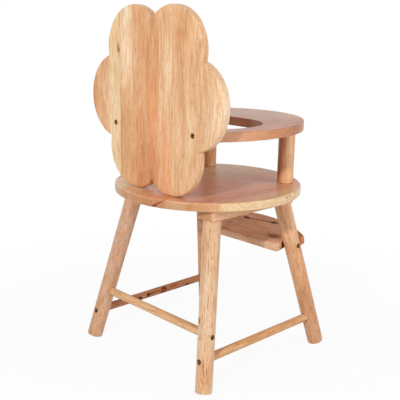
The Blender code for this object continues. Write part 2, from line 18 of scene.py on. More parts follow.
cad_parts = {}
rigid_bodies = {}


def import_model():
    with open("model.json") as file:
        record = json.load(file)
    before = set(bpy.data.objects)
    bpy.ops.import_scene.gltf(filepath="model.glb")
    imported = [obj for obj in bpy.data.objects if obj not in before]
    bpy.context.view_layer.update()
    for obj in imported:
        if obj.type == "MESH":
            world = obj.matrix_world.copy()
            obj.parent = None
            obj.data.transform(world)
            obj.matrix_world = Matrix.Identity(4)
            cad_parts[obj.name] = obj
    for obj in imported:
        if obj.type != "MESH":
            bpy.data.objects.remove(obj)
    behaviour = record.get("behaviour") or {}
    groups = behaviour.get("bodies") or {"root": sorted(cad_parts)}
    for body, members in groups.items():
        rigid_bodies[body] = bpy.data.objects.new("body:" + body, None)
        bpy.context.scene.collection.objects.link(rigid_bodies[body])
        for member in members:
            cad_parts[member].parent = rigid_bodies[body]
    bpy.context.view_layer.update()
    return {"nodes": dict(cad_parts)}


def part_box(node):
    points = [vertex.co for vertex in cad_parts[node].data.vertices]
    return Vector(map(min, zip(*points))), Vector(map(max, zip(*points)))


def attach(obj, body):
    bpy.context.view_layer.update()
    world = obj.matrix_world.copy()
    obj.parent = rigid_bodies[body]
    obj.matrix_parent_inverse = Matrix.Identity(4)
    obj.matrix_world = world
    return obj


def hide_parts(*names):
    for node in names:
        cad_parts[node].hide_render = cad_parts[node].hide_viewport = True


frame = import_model()
nodes = frame["nodes"]
print("the frame holds", len(nodes), "nodes")

# %% [markdown]
# The camera stands off the chair's right rear corner, a little above the tray, and leans by about a
# degree. A camera could be aimed by an empty, but its three directions are written here in full,
# because they were worked out together from the outline of the boards in the photograph.

# %% Set the camera
CAMERA_PLACE = Vector((-0.7595, 0.74875, 0.4989))
CAMERA_RIGHT = Vector((-0.6895, -0.7241, 0.0174))
CAMERA_UP = Vector((0.1869, -0.1547, 0.9701))
CAMERA_FORWARD = Vector((0.6998, -0.6722, -0.2420))
CAMERA_LENS = 63.476
CAMERA_SENSOR = 36.0

scene = bpy.context.scene


def put_in_scene(name, data):
    """A new object in the scene, at the origin."""
    made = bpy.data.objects.new(name, data)
    scene.collection.objects.link(made)
    return made


def towards(start, direction, axis="Z"):
    """The placing that takes the origin to start and an axis to a direction."""
    return Matrix.Translation(start) @ direction.to_track_quat(axis, "Y").to_matrix().to_4x4()


camera_data = bpy.data.cameras.new("studio_camera")
camera_data.sensor_width = CAMERA_SENSOR
camera_data.lens = CAMERA_LENS
camera = put_in_scene("studio_camera", camera_data)
turn = Matrix((CAMERA_RIGHT, CAMERA_UP, -CAMERA_FORWARD)).transposed().to_4x4()
camera.matrix_world = Matrix.Translation(CAMERA_PLACE) @ turn
scene.camera = camera
scene.view_settings.view_transform = "Standard"
print("the camera stands", round(CAMERA_PLACE.length, 3), "m from the chair's foot")

# %% [markdown]
# Two lamps and a white sky light the chair. The key lamp is small and stands behind the chair's back,
# so the panel is bright and throws a clear shade over the tray's opening and the seat, as in the
# photograph. The second lamp is large and soft, stands to the camera's right and only lifts the sides
# that face it.

# %% Place the lamps
LAMPS = {
    "key_lamp": {"place": Vector((-0.62, 2.00, 1.20)), "size": 0.1, "power": 26.0},
    "side_lamp": {"place": Vector((-1.64, -0.62, 0.75)), "size": 1.0, "power": 12.0},
}
LAMP_AIM = Vector((0, 0, 0.25))

for lamp_name, lamp in LAMPS.items():
    lamp_data = bpy.data.lights.new(lamp_name, "AREA")
    lamp_data.shape = "SQUARE"
    lamp_data.size = lamp["size"]
    lamp_data.energy = lamp["power"]
    placing = towards(lamp["place"], LAMP_AIM - lamp["place"], "-Z")
    put_in_scene(lamp_name, lamp_data).matrix_world = placing
print("lamps:", ", ".join(LAMPS))

# %% [markdown]
# Materials and repeated shapes are both built from nodes, in script. The helpers below keep such a
# tree short to write: each makes one node, feeds it with values or with other nodes' results, and
# gives back what the node says.

# %% Helpers for node trees
MIX_SHARE, MIX_FIRST, MIX_SECOND = 0, 6, 7
MIX_RESULT = 2
NOISE_ROUGHNESS = 0.5
FULL_BYTE = 255


def colour(*shown):
    """A colour as a picture shows it, 0 to 255, made linear for a socket."""
    linear = Color([value / FULL_BYTE for value in shown]).from_srgb_to_scene_linear()
    return (*linear, 1.0)


def feed(tree, socket, value):
    """Link a socket to another one, or set it to a value."""
    if isinstance(value, bpy.types.NodeSocket):
        tree.links.new(value, socket)
    else:
        socket.default_value = value


def make_node(tree, kind, settings=None, values=(), **named):
    """A node fed in order or by input name; an underscore stands for a space."""
    node = tree.nodes.new(kind)
    for label, value in (settings or {}).items():
        setattr(node, label, value)
    for socket, value in zip(node.inputs, values):
        feed(tree, socket, value)
    for label, value in named.items():
        feed(tree, node.inputs[label.replace("_", " ")], value)
    return node


def math_of(tree, operation, *values):
    """A Math node's result."""
    return make_node(tree, "ShaderNodeMath", {"operation": operation}, values).outputs[0]


def vector_of(tree, operation, *values):
    """A Vector Math node's result, a number for a dot product or a length."""
    node = make_node(tree, "ShaderNodeVectorMath", {"operation": operation}, values)
    return node.outputs["Value" if operation in ("DOT_PRODUCT", "LENGTH") else "Vector"]


def joined(tree, *values):
    """A vector from three numbers or sockets."""
    return make_node(tree, "ShaderNodeCombineXYZ", values=values).outputs[0]


def spread(tree, value, low, high, to_low=0.0, to_high=1.0, smooth=False):
    """Map a range of values onto another, held at its ends."""
    settings = {"interpolation_type": "SMOOTHSTEP" if smooth else "LINEAR"}
    ranges = (value, low, high, to_low, to_high)
    return make_node(tree, "ShaderNodeMapRange", settings, ranges).outputs["Result"]


def noise_of(tree, vector, detail, roughness=NOISE_ROUGHNESS, output="Fac"):
    """A Noise Texture read at a vector that is already scaled."""
    node = make_node(tree, "ShaderNodeTexNoise", Scale=1.0, Detail=detail, Roughness=roughness,
                     Vector=vector)
    return node.outputs[output]


def blended(tree, share, first, second, kind="MIX"):
    """Two colours mixed by a share."""
    node = make_node(tree, "ShaderNodeMix", {"data_type": "RGBA", "blend_type": kind})
    feed(tree, node.inputs[MIX_SHARE], share)
    feed(tree, node.inputs[MIX_FIRST], first)
    feed(tree, node.inputs[MIX_SECOND], second)
    return node.outputs[MIX_RESULT]


def new_material(name):
    """A material with nodes, its tree and its shader's inputs."""
    material = bpy.data.materials.new(name)
    material.use_nodes = True
    return material, material.node_tree, material.node_tree.nodes["Principled BSDF"].inputs


print("node helpers ready")

# %% [markdown]
# The photograph was taken on a bright white sweep. The floor here is a plain white sheet that keeps a
# faint shadow: what the camera sees is mostly plain white, with a share of the lit surface left in
# near the chair. Light Path tells rays that look at the floor or the sky from rays that carry light,
# so the sky can look white and still light the chair softly.

# %% Make the floor and the sky
FLOOR_HALF_WIDTH = 30.0
FLOOR_SHADOW_SHARE = 0.07
SHADOW_CORE = 0.25
SHADOW_REACH = 0.75
FLOOR_COLOUR = (0.86, 0.86, 0.86, 1.0)
WHITE = (1.0, 1.0, 1.0, 1.0)
SKY_LIGHT = 0.45


def seen_directly(tree):
    """1 for rays from the camera, mirrors and glass, 0 for rays that carry light."""
    rays = tree.nodes.new("ShaderNodeLightPath").outputs
    either = math_of(tree, "MAXIMUM", rays["Is Camera Ray"], rays["Is Glossy Ray"])
    return math_of(tree, "MAXIMUM", either, rays["Is Transmission Ray"])


def white_sheet():
    """Matt paper that the camera sees as white with a faint shadow."""
    material, tree, _ = new_material("white_sheet")
    tree.nodes.clear()
    matt = make_node(tree, "ShaderNodeBsdfDiffuse", Color=FLOOR_COLOUR)
    plain = make_node(tree, "ShaderNodeEmission", Color=WHITE)
    distance = vector_of(tree, "LENGTH", tree.nodes.new("ShaderNodeTexCoord").outputs["Object"])
    plainness = spread(tree, distance, SHADOW_CORE, SHADOW_REACH, 1.0 - FLOOR_SHADOW_SHARE, smooth=True)
    share = math_of(tree, "MULTIPLY", seen_directly(tree), plainness)
    mixed = make_node(tree, "ShaderNodeMixShader", values=(share, matt.outputs[0], plain.outputs[0]))
    make_node(tree, "ShaderNodeOutputMaterial", Surface=mixed.outputs[0])
    return material


def mesh_from(name, form):
    """A mesh from a bmesh form, which is freed."""
    mesh = bpy.data.meshes.new(name)
    form.to_mesh(mesh)
    form.free()
    return mesh


floor_form = bmesh.new()
bmesh.ops.create_grid(floor_form, x_segments=1, y_segments=1, size=FLOOR_HALF_WIDTH)
floor = put_in_scene("floor", mesh_from("floor", floor_form))
floor.data.materials.append(white_sheet())

sky = bpy.data.worlds.new("studio_sky")
scene.world = sky
sky.use_nodes = True
backdrop = sky.node_tree.nodes["Background"].inputs
backdrop["Color"].default_value = WHITE
sky_strength = spread(sky.node_tree, seen_directly(sky.node_tree), 0.0, 1.0, SKY_LIGHT)
feed(sky.node_tree, backdrop["Strength"], sky_strength)
print("floor and sky are white")

# %% [markdown]
# Wood is drawn by nodes alone. Each piece has its own grain frame: one direction along the fibres,
# one across them on the face, and one through the board. A point's distances along these three
# directions come from dot products with the Object coordinates, so a pattern never slides and a
# splayed leg needs no turned object.
#
# The wood is a pale tropical hardwood under a satin finish. Seen close, it has cloudy patches, uneven
# growth bands, long fine lines and short dark flecks. Each layer is a noise stretched along the
# fibres, and each tints the wood under it, from nothing at one noise value to its full share at
# another. The fibres wander a little, which keeps the lines from looking ruled.

# %% The hardwood's layers
WANDER_SCALE = (15.0, 15.0, 9.0)
WANDER_REACH = 0.0045
WANDER_DETAIL = 2.0
NOISE_MIDDLE = (0.5, 0.5, 0.5)
NOISE_LOW, NOISE_HIGH = 0.3, 0.7
PITH_DISTANCE = 0.055
RING_DRIFT = 0.035

# each noise: its scale across, through and along the fibres, its detail and its roughness
NOISES = {
    "clouds": ((24.0, 24.0, 8.0), 3.0, 0.55),
    "blotches": ((170.0, 170.0, 70.0), 2.0, 0.5),
    "bands": ((170.0, 5.0, 1.0), 3.0, 0.6),
    "lines": ((540.0, 540.0, 32.0), 3.0, 0.6),
    "flecks": ((820.0, 820.0, 130.0), 1.0, 0.5),
}
PALER = (1.05, 1.07, 1.10, 1.0)
DEEPER = (0.91, 0.84, 0.76, 1.0)
ROSIER = (1.01, 0.94, 0.91, 1.0)
LATE_WOOD = (0.88, 0.78, 0.67, 1.0)
BROWN_LINE = (0.82, 0.66, 0.50, 1.0)
PALE_LINE = (1.08, 1.11, 1.16, 1.0)
FLECK = (0.76, 0.52, 0.34, 1.0)
# each layer: its noise, the values where it starts and is full, its full share and its tint
LAYERS = [
    ("clouds", 0.48, 0.66, 1.0, DEEPER),
    ("clouds", 0.50, 0.34, 1.0, PALER),
    ("blotches", 0.50, 0.70, 1.0, ROSIER),
    ("bands", 0.48, 0.66, 0.55, LATE_WOOD),
    ("lines", 0.50, 0.70, 0.9, BROWN_LINE),
    ("lines", 0.48, 0.30, 0.8, PALE_LINE),
]


def tinted(tree, share, wood, tint):
    """Wood multiplied by a tint, by a share."""
    return blended(tree, share, wood, tint, "MULTIPLY")


def grain_frame(along, across, centre=(0, 0, 0)):
    """Directions along, across and through a piece's fibres, measured from a centre."""
    along = Vector(along).normalized()
    across = (Vector(across) - along * along.dot(Vector(across))).normalized()
    return {"along": along, "across": across, "through": across.cross(along), "centre": Vector(centre)}


def scaled(tree, vector, scale, shift):
    """A vector stretched by a scale and moved by a shift."""
    return vector_of(tree, "ADD", vector_of(tree, "MULTIPLY", vector, scale), shift)


def layer_noise(tree, name, vector, shift):
    """One layer's noise, read along the fibres."""
    scale, detail, roughness = NOISES[name]
    return noise_of(tree, scaled(tree, vector, scale, shift), detail, roughness)


def wandering(tree, across, through, along, shift):
    """Coordinates across, through and along the fibres, bent as slow noise wanders."""
    straight = joined(tree, across, through, along)
    slow = noise_of(tree, scaled(tree, straight, WANDER_SCALE, shift), WANDER_DETAIL, output="Color")
    bend = vector_of(tree, "SUBTRACT", slow, NOISE_MIDDLE)
    reach = (2 * WANDER_REACH, 2 * WANDER_REACH, 0.0)
    return vector_of(tree, "ADD", straight, vector_of(tree, "MULTIPLY", bend, reach))


def ring_place(tree, fibres):
    """The distance from a pith behind the board, which drifts along the fibres."""
    across, through, along = make_node(tree, "ShaderNodeSeparateXYZ", values=[fibres]).outputs
    flat = joined(tree, across, math_of(tree, "ADD", through, PITH_DISTANCE), 0.0)
    drift = math_of(tree, "MULTIPLY", along, RING_DRIFT)
    return joined(tree, math_of(tree, "ADD", vector_of(tree, "LENGTH", flat), drift), along, 0.0)


print("layers:", ", ".join(NOISES))

# %% [markdown]
# A board glued from staves changes its tone at every joint, so its base colour comes from a ramp with
# hard steps, and the ramp's alpha shifts the noise so that the figure breaks at the joint too. Knots,
# cracks and patches are what the eye remembers of a piece of wood. Each is a soft ellipsoid: a Mapping
# node moves, turns and scales the coordinates, and the length of what it gives is 1 at the rim. Their
# places are written in millimetres, across the fibres, along them and through the board.

# %% Staves and marks
MILLIMETRE = 0.001
STAVE_MARGIN = 0.05
STAVE_SHIFT_STEP, STAVE_SHIFTS = 7, 11
JOINT_WIDTH = 0.0007
JOINT_TINT = (0.72, 0.60, 0.48, 1.0)
READY_ELEMENTS = 2
MARK_CORE = 0.25
MARK_WOBBLE = 0.35
MARK_EDGE = 0.0003
RIGHT_THROUGH = 1000

# some of these tints also paint light and shade where they are used: painted highlights, painted shade,
# painted sheen and a painted lilac reflection
PALE_TONE_AND_LIGHT = (1.06, 1.16, 1.26, 1.0)
CREAM_TONE_AND_HIGHLIGHT = (1.05, 1.20, 1.34, 1.0)
PAINTED_SHEEN = (1.04, 1.13, 1.26, 1.0)
ORANGE_TONE_AND_LIGHT = (1.00, 0.85, 0.70, 1.0)
GOLDEN_WOOD = (0.94, 0.85, 0.72, 1.0)
BROWN_WOOD = (0.90, 0.80, 0.68, 1.0)
RUSSET_WOOD = (0.94, 0.78, 0.70, 1.0)
PAINTED_RED_SHADE = (0.90, 0.64, 0.60, 1.0)
PAINTED_LILAC_REFLECTION = (0.82, 0.70, 0.72, 1.0)
MAUVE_WOOD = (0.84, 0.76, 0.80, 1.0)
UMBER_TONE_AND_SHADE = (0.70, 0.64, 0.68, 1.0)
DARK_STREAK_AND_SHADE = (0.66, 0.48, 0.34, 1.0)
KNOT_AND_GAP_SHADE = colour(84, 30, 10)
KNOT_HALO = colour(160, 82, 38)
PIN_KNOT = colour(150, 94, 44)
RED_KNOT = colour(128, 44, 26)


def in_metres(lengths):
    """Lengths in millimetres as metres."""
    return [length * MILLIMETRE for length in lengths]


def staves(joints, tones):
    """Tones between joints, from the lowest place across to the highest: one more tone than joints."""
    return {"joints": in_metres(joints), "tones": tones}


def stave_ramp(tree, across, boards):
    """Each stave's tone and shift, from a ramp with hard steps, and a thin line at each joint."""
    low = boards["joints"][0] - STAVE_MARGIN
    high = boards["joints"][-1] + STAVE_MARGIN
    node = make_node(tree, "ShaderNodeValToRGB", Fac=spread(tree, across, low, high))
    ramp = node.color_ramp
    ramp.interpolation = "CONSTANT"
    for number, (start, tone) in enumerate(zip([low] + boards["joints"], boards["tones"])):
        position = (start - low) / (high - low)
        element = ramp.elements[number] if number < READY_ELEMENTS else ramp.elements.new(position)
        element.position = position
        shift = number * STAVE_SHIFT_STEP % STAVE_SHIFTS / STAVE_SHIFTS
        element.color = (*tone[:3], shift)
    line = None
    for joint in boards["joints"]:
        gap = math_of(tree, "ABSOLUTE", math_of(tree, "SUBTRACT", across, joint))
        near = spread(tree, gap, 0.0, JOINT_WIDTH, 1.0, 0.0)
        line = near if line is None else math_of(tree, "MAXIMUM", line, near)
    return node.outputs["Color"], node.outputs["Alpha"], line


def mark(place, half, look, share=1.0, core=MARK_CORE, turn=(0, 0, 0), between=None):
    """A patch or knot: its place, half sizes, tint or tone, share, full core, turn and limits."""
    return {"place": in_metres((*place, 0)[:3]), "half": in_metres((*half, RIGHT_THROUGH)[:3]),
            "look": look, "share": share, "core": core, "turn": turn,
            "between": between and in_metres(between)}


def mark_share(tree, spot, straight, across, wobble):
    """How strongly a mark shows at each point."""
    mapping = make_node(tree, "ShaderNodeMapping", {"vector_type": "TEXTURE"}, Vector=straight,
                        Location=spot["place"], Rotation=spot["turn"], Scale=spot["half"])
    wave = spread(tree, wobble, NOISE_LOW, NOISE_HIGH, -MARK_WOBBLE, MARK_WOBBLE)
    reach = math_of(tree, "ADD", vector_of(tree, "LENGTH", mapping.outputs[0]), wave)
    share = spread(tree, reach, spot["core"], 1.0, spot["share"], 0.0, smooth=True)
    if spot["between"]:
        low, high = spot["between"]
        above = spread(tree, across, low - MARK_EDGE, low + MARK_EDGE)
        below = spread(tree, across, high - MARK_EDGE, high + MARK_EDGE, 1.0, 0.0)
        share = math_of(tree, "MULTIPLY", math_of(tree, "MULTIPLY", share, above), below)
    return share


print("staves and marks ready")

# %% [markdown]
# Now the layers come together in one material. Tints come before knots, because a patch of paler wood
# still shows its grain while a knot hides it. Where a surface cuts the fibres across, as on a board's
# ends, it drinks more finish and turns browner, so the surface's direction is compared with the
# fibres'. A thin clear coat gives the satin sheen that the boards show where they are seen at a low
# angle.

# %% The hardwood material
WOOD_SPECKS = 0.6
WOOD_GLOSS = 0.4
WOOD_COAT = 0.12
SHIFT_REACH = 23.0
JOINT_SHARE = 0.15
FLECK_RANGE = (0.56, 0.72)
CUT_ACROSS_RANGE = (0.45, 0.95)
END_GRAIN = (0.70, 0.58, 0.48, 1.0)
PALE_ENDS = (0.94, 0.90, 0.86, 1.0)
SATIN_ROUGHNESS = (0.40, 0.54)
COAT_ROUGHNESS = 0.24
LINE_RELIEF_SHARE = 0.6
GRAIN_BUMP_STRENGTH = 0.25
GRAIN_BUMP_HEIGHT = 0.0003


def hardwood(name, grain, tone, patches=(), knots=(), seed=0.0, figure=1.0, specks=WOOD_SPECKS,
             ends=END_GRAIN, gloss=WOOD_GLOSS, coat=WOOD_COAT):
    """Pale hardwood with its fibres along a grain frame, in one tone or in staves."""
    material, tree, shader = new_material(name)
    coordinates = tree.nodes.new("ShaderNodeTexCoord").outputs
    place = vector_of(tree, "SUBTRACT", coordinates["Object"], grain["centre"])
    across, along, through = (vector_of(tree, "DOT_PRODUCT", place, grain[direction])
                              for direction in ("across", "along", "through"))
    line = None
    shift = seed
    wood = tone
    if isinstance(tone, dict):
        wood, stave_shift, line = stave_ramp(tree, across, tone)
        shift = math_of(tree, "ADD", math_of(tree, "MULTIPLY", stave_shift, SHIFT_REACH), seed)
    shift = joined(tree, shift, shift, shift)
    fibres = wandering(tree, across, through, along, shift)
    rings = ring_place(tree, fibres)
    noises = {noise: layer_noise(tree, noise, rings if noise == "bands" else fibres, shift)
              for noise in NOISES}

    for noise, start, full, share, tint in LAYERS:
        wood = tinted(tree, spread(tree, noises[noise], start, full, 0.0, share * figure), wood, tint)
    fleck_share = spread(tree, noises["flecks"], *FLECK_RANGE, 0.0, specks * figure)
    wood = tinted(tree, fleck_share, wood, FLECK)
    if line is not None:
        wood = tinted(tree, math_of(tree, "MULTIPLY", line, JOINT_SHARE), wood, JOINT_TINT)
    straight = joined(tree, across, along, through)
    for spots, kind, wobble in ((patches, "MULTIPLY", "clouds"), (knots, "MIX", "blotches")):
        for spot in spots:
            share = mark_share(tree, spot, straight, across, noises[wobble])
            wood = blended(tree, share, wood, spot["look"], kind)
    facing = vector_of(tree, "DOT_PRODUCT", coordinates["Normal"], grain["along"])
    cut_across = spread(tree, math_of(tree, "ABSOLUTE", facing), *CUT_ACROSS_RANGE, smooth=True)
    feed(tree, shader["Base Color"], tinted(tree, cut_across, wood, ends))

    roughness = spread(tree, noises["lines"], NOISE_LOW, NOISE_HIGH, *SATIN_ROUGHNESS)
    feed(tree, shader["Roughness"], roughness)
    line_relief = math_of(tree, "MULTIPLY", noises["lines"], LINE_RELIEF_SHARE)
    bump = make_node(tree, "ShaderNodeBump", Strength=GRAIN_BUMP_STRENGTH, Distance=GRAIN_BUMP_HEIGHT,
                     Height=math_of(tree, "SUBTRACT", line_relief, fleck_share))
    feed(tree, shader["Normal"], bump.outputs[0])
    shader["Specular IOR Level"].default_value = gloss
    shader["Coat Weight"].default_value = coat
    shader["Coat Roughness"].default_value = COAT_ROUGHNESS
    return material


print("hardwood material ready")

# %% [markdown]
# Every board and bar starts as a plain mesh, and is then finished the way a joiner would: its long
# edges are eased with a Bevel, the holes for its screws are cut with a Boolean, and a Weighted Normal
# keeps the flat faces flat and the rounded edges soft. The result is turned into a plain mesh, rides
# on the frame's one body and stands for its node.

# %% Helpers for finishing a piece
EASING_STEPS = 4
EASED_EDGE = math.radians(40)
CREASE = math.radians(38)
FACE_NORMAL_WEIGHT = 50
MERGE_DISTANCE = 0.00001


def plain_mesh(made, name):
    """The object's evaluated shape as a plain mesh, and the object removed."""
    depsgraph = bpy.context.evaluated_depsgraph_get()
    mesh = bpy.data.meshes.new_from_object(made.evaluated_get(depsgraph),
                                           preserve_all_data_layers=True, depsgraph=depsgraph)
    mesh.name = name
    bpy.data.objects.remove(made, do_unlink=True)
    return mesh


def on_the_frame(name, mesh, slot, *replaced):
    """A finished mesh as a piece that rides on the body and stands for its nodes."""
    piece = put_in_scene(name, mesh)
    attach(piece, "root")
    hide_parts(*replaced)


def finish_wood(node, mesh, material, slot, easing, holes, marked):
    """Ease the edges, cut the holes, smooth the normals, and put a wooden piece on the frame."""
    name = node + "_wood"
    made = put_in_scene(name + "_made", mesh)
    if easing:
        bevel = made.modifiers.new("eased edges", "BEVEL")
        bevel.width = easing
        bevel.segments = EASING_STEPS
        bevel.limit_method = "WEIGHT" if marked else "ANGLE"
        bevel.angle_limit = EASED_EDGE
    for hole in holes:
        boolean = made.modifiers.new("hole", "BOOLEAN")
        boolean.operation = "DIFFERENCE"
        boolean.solver = "EXACT"
        boolean.object = hole
    cut_mesh = plain_mesh(made, name)
    cut_mesh.shade_smooth()
    cut_mesh.set_sharp_from_angle(angle=CREASE)
    smoothed = put_in_scene(name + "_smoothed", cut_mesh)
    weighted = smoothed.modifiers.new("flat faces stay flat", "WEIGHTED_NORMAL")
    weighted.keep_sharp = True
    weighted.weight = FACE_NORMAL_WEIGHT
    final = plain_mesh(smoothed, name)
    final.materials.clear()
    final.materials.append(material)
    on_the_frame(name, final, slot, node)


print("finishing helpers ready")

# %% [markdown]
# The screws are where the frame says. Each screw node is a small turned solid, so its axis is the
# longest direction of its points, and the end with the widest ring is the head. Reading the places
# from the nodes keeps the heads, their recesses and the holes around them exactly in line.

# %% Find the screws
HEAD_RING_SHARE = 0.9
AXIS_ROUNDS = 12


def screw_line(node):
    """The middle of a screw head's face, the outward direction and the screw's length."""
    points = [vertex.co.copy() for vertex in nodes[node].data.vertices]
    middle = sum(points, Vector()) / len(points)
    away = [point - middle for point in points]
    axis = max(away, key=lambda step: step.length).normalized()
    for _ in range(AXIS_ROUNDS):
        axis = sum((step * step.dot(axis) for step in away), Vector()).normalized()
    widest = max((step - axis * step.dot(axis)).length for step in away)
    ring = [step for step in away
            if (step - axis * step.dot(axis)).length > widest * HEAD_RING_SHARE]
    if sum(step.dot(axis) for step in ring) < 0:
        axis = -axis
    heights = [step.dot(axis) for step in away]
    face = middle + axis * max(step.dot(axis) for step in ring)
    return face, axis, max(heights) - min(heights)


screw_names = sorted(name for name in nodes if name.startswith("screw_"))
screw_lines = {name: screw_line(name) for name in screw_names}
longest = max(length for _, _, length in screw_lines.values())
print("found", len(screw_lines), "screws, the longest", round(longest, 4), "m")

# %% [markdown]
# A countersunk hole is a turned shape: a short wide mouth, a cone and a narrow shaft. A revolve could
# be done with a Screw modifier, but a few rings of points joined by faces are just as short.

# %% A turned solid and the hole cutters
HOLE_SIDES = 32
HOLE_CLEARANCE = 0.0005
MOUTH_HEIGHT = 0.004
HEAD_RADIUS = 0.0035
HEAD_RIM = 0.0004
HEAD_HEIGHT = 0.0026
SHANK_RADIUS = 0.00175
HOLE_DEPTH = 0.006


def turned_solid(name, profile, sides):
    """A closed solid of revolution about Z, from (radius, height) pairs that go down."""
    form = bmesh.new()
    rings = []
    for radius, height in profile:
        angles = [math.tau * step / sides for step in range(sides)]
        rings.append([form.verts.new((radius * math.cos(angle), radius * math.sin(angle), height))
                      for angle in angles])
    for upper, lower in zip(rings, rings[1:]):
        for step in range(sides):
            after = (step + 1) % sides
            form.faces.new((upper[step], lower[step], lower[after], upper[after]))
    form.faces.new(rings[0])
    form.faces.new(list(reversed(rings[-1])))
    bmesh.ops.recalc_face_normals(form, faces=form.faces)
    return mesh_from(name, form)


cutters = bpy.data.collections.new("cutters")


def cutter(name, mesh, placing=Matrix()):
    """A hidden cutting tool."""
    mesh.transform(placing)
    tool = bpy.data.objects.new(name, mesh)
    cutters.objects.link(tool)
    return tool


hole_profile = [
    (HEAD_RADIUS + HOLE_CLEARANCE, MOUTH_HEIGHT),
    (HEAD_RADIUS + HOLE_CLEARANCE, -HEAD_RIM),
    (SHANK_RADIUS + HOLE_CLEARANCE, -HEAD_HEIGHT),
    (SHANK_RADIUS + HOLE_CLEARANCE, -HOLE_DEPTH),
]
holes = {}
for screw_name, (face, outward, _) in screw_lines.items():
    hole_mesh = turned_solid("hole_" + screw_name, hole_profile, HOLE_SIDES)
    holes[screw_name] = cutter("hole_" + screw_name, hole_mesh, towards(face, outward))


def holes_of(*starts, end=""):
    """The holes of the screws whose names start and end in a given way."""
    return [holes[name] for name in screw_names if name.startswith(starts) and name.endswith(end)]


print("made", len(holes), "hole cutters")

# %% [markdown]
# The screws themselves repeat, so Geometry Nodes make them. One tree builds the countersunk head, cuts
# a cross recess into it, and sets a head and a shank on every point. The points carry the direction
# and the length of each screw as attributes. Realize Instances makes them real, and Set Material gives
# them their finish.

# %% The screw tree
HEAD_SIDES = 28
SHANK_SIDES = 14
SHANK_TIP_RADIUS = SHANK_RADIUS / 3
RECESS_LENGTH = 0.0048
RECESS_WIDTH = 0.0012
RECESS_DEPTH = 0.0017
SOCKET_KINDS = {float: "Float", int: "Int", type(None): "Material"}


def tree_with_inputs(name, inputs):
    """A Geometry Nodes tree with named inputs, and the sockets by name."""
    tree = bpy.data.node_groups.new(name, "GeometryNodeTree")
    for in_out in ("INPUT", "OUTPUT"):
        tree.interface.new_socket("Geometry", in_out=in_out, socket_type="NodeSocketGeometry")
    for label, value in inputs.items():
        kind = SOCKET_KINDS[type(value)]
        socket = tree.interface.new_socket(label, in_out="INPUT", socket_type="NodeSocket" + kind)
        if value is not None:
            socket.default_value = value
    return tree, tree.nodes.new("NodeGroupInput").outputs, tree.nodes.new("NodeGroupOutput").inputs[0]


def hand_over(tree, geometry, material, result):
    """The tree's end: instances made real, and the material set."""
    real = make_node(tree, "GeometryNodeRealizeInstances", Geometry=geometry)
    dressed = make_node(tree, "GeometryNodeSetMaterial", Geometry=real.outputs[0], Material=material)
    tree.links.new(dressed.outputs[0], result)
    return tree


def named_value(tree, name, kind):
    """A named attribute of the points."""
    return make_node(tree, "GeometryNodeInputNamedAttribute", {"data_type": kind},
                     Name=name).outputs["Attribute"]


def screw_tree():
    """Cross-head countersunk screws on points."""
    tree, given, result = tree_with_inputs("cross_head_screws", {
        "Head Radius": HEAD_RADIUS,
        "Head Height": HEAD_HEIGHT,
        "Shank Radius": SHANK_RADIUS,
        "Recess Length": RECESS_LENGTH,
        "Recess Width": RECESS_WIDTH,
        "Recess Depth": RECESS_DEPTH,
        "Material": None,
    })
    cone = make_node(tree, "GeometryNodeMeshCone", Vertices=HEAD_SIDES,
                     Radius_Top=given["Head Radius"], Radius_Bottom=given["Shank Radius"],
                     Depth=given["Head Height"])
    drop = joined(tree, 0.0, 0.0, math_of(tree, "MULTIPLY", given["Head Height"], -1.0))
    head = make_node(tree, "GeometryNodeTransform", Geometry=cone.outputs["Mesh"],
                     Translation=drop).outputs[0]
    height = math_of(tree, "MULTIPLY", given["Recess Depth"], 2.0)
    for across, along in (("Recess Length", "Recess Width"), ("Recess Width", "Recess Length")):
        size = joined(tree, given[across], given[along], height)
        bar = make_node(tree, "GeometryNodeMeshCube", Size=size).outputs["Mesh"]
        cut = make_node(tree, "GeometryNodeMeshBoolean", {"operation": "DIFFERENCE", "solver": "EXACT"},
                        Mesh_1=head, Mesh_2=bar)
        head = cut.outputs["Mesh"]
    shank = make_node(tree, "GeometryNodeMeshCone", Vertices=SHANK_SIDES, Depth=1.0,
                      Radius_Top=given["Shank Radius"], Radius_Bottom=SHANK_TIP_RADIUS)
    shank = make_node(tree, "GeometryNodeTransform", Geometry=shank.outputs["Mesh"],
                      Translation=(0, 0, -1)).outputs[0]
    turn_by = make_node(tree, "FunctionNodeEulerToRotation",
                        Euler=named_value(tree, "turn", "FLOAT_VECTOR")).outputs[0]
    stretch = joined(tree, 1.0, 1.0, named_value(tree, "shank_length", "FLOAT"))
    heads = make_node(tree, "GeometryNodeInstanceOnPoints", Points=given["Geometry"], Instance=head,
                      Rotation=turn_by)
    shanks = make_node(tree, "GeometryNodeInstanceOnPoints", Points=given["Geometry"], Instance=shank,
                       Rotation=turn_by, Scale=stretch)
    both = tree.nodes.new("GeometryNodeJoinGeometry")
    tree.links.new(heads.outputs[0], both.inputs[0])
    tree.links.new(shanks.outputs[0], both.inputs[0])
    return hand_over(tree, both.outputs[0], given["Material"], result)


def run_tree(made, tree, values):
    """Give an object a tree, with its inputs set by their identifiers."""
    modifier = made.modifiers.new(tree.name, "NODES")
    modifier.node_group = tree
    for item in tree.interface.items_tree:
        if item.in_out == "INPUT" and item.name in values:
            modifier[item.identifier] = values[item.name]


cross_head_screws = screw_tree()
print("screw tree ready")

# %% [markdown]
# The real screws are steel with a dark bronze finish, worn in spots. Noise on the Object coordinates
# moves between a dark and a brassy tone. Each recess has its own turn, because no one lines screws up
# by hand, so the points' turns are worked out one after another.

# %% Set the screws
RECESS_TWIST = math.radians(37)
SCREW_CREASE = math.radians(30)
WEAR_SCALE = (700.0, 700.0, 700.0)
WEAR_DETAIL = 3.0
WEAR_RANGE = (0.50, 0.62)
DARK_BRONZE = colour(40, 22, 10)
WORN_BRONZE = colour(190, 142, 82)
BRONZE_ROUGHNESS = (0.28, 0.46)
BRONZE_METAL_SHARE = 0.9


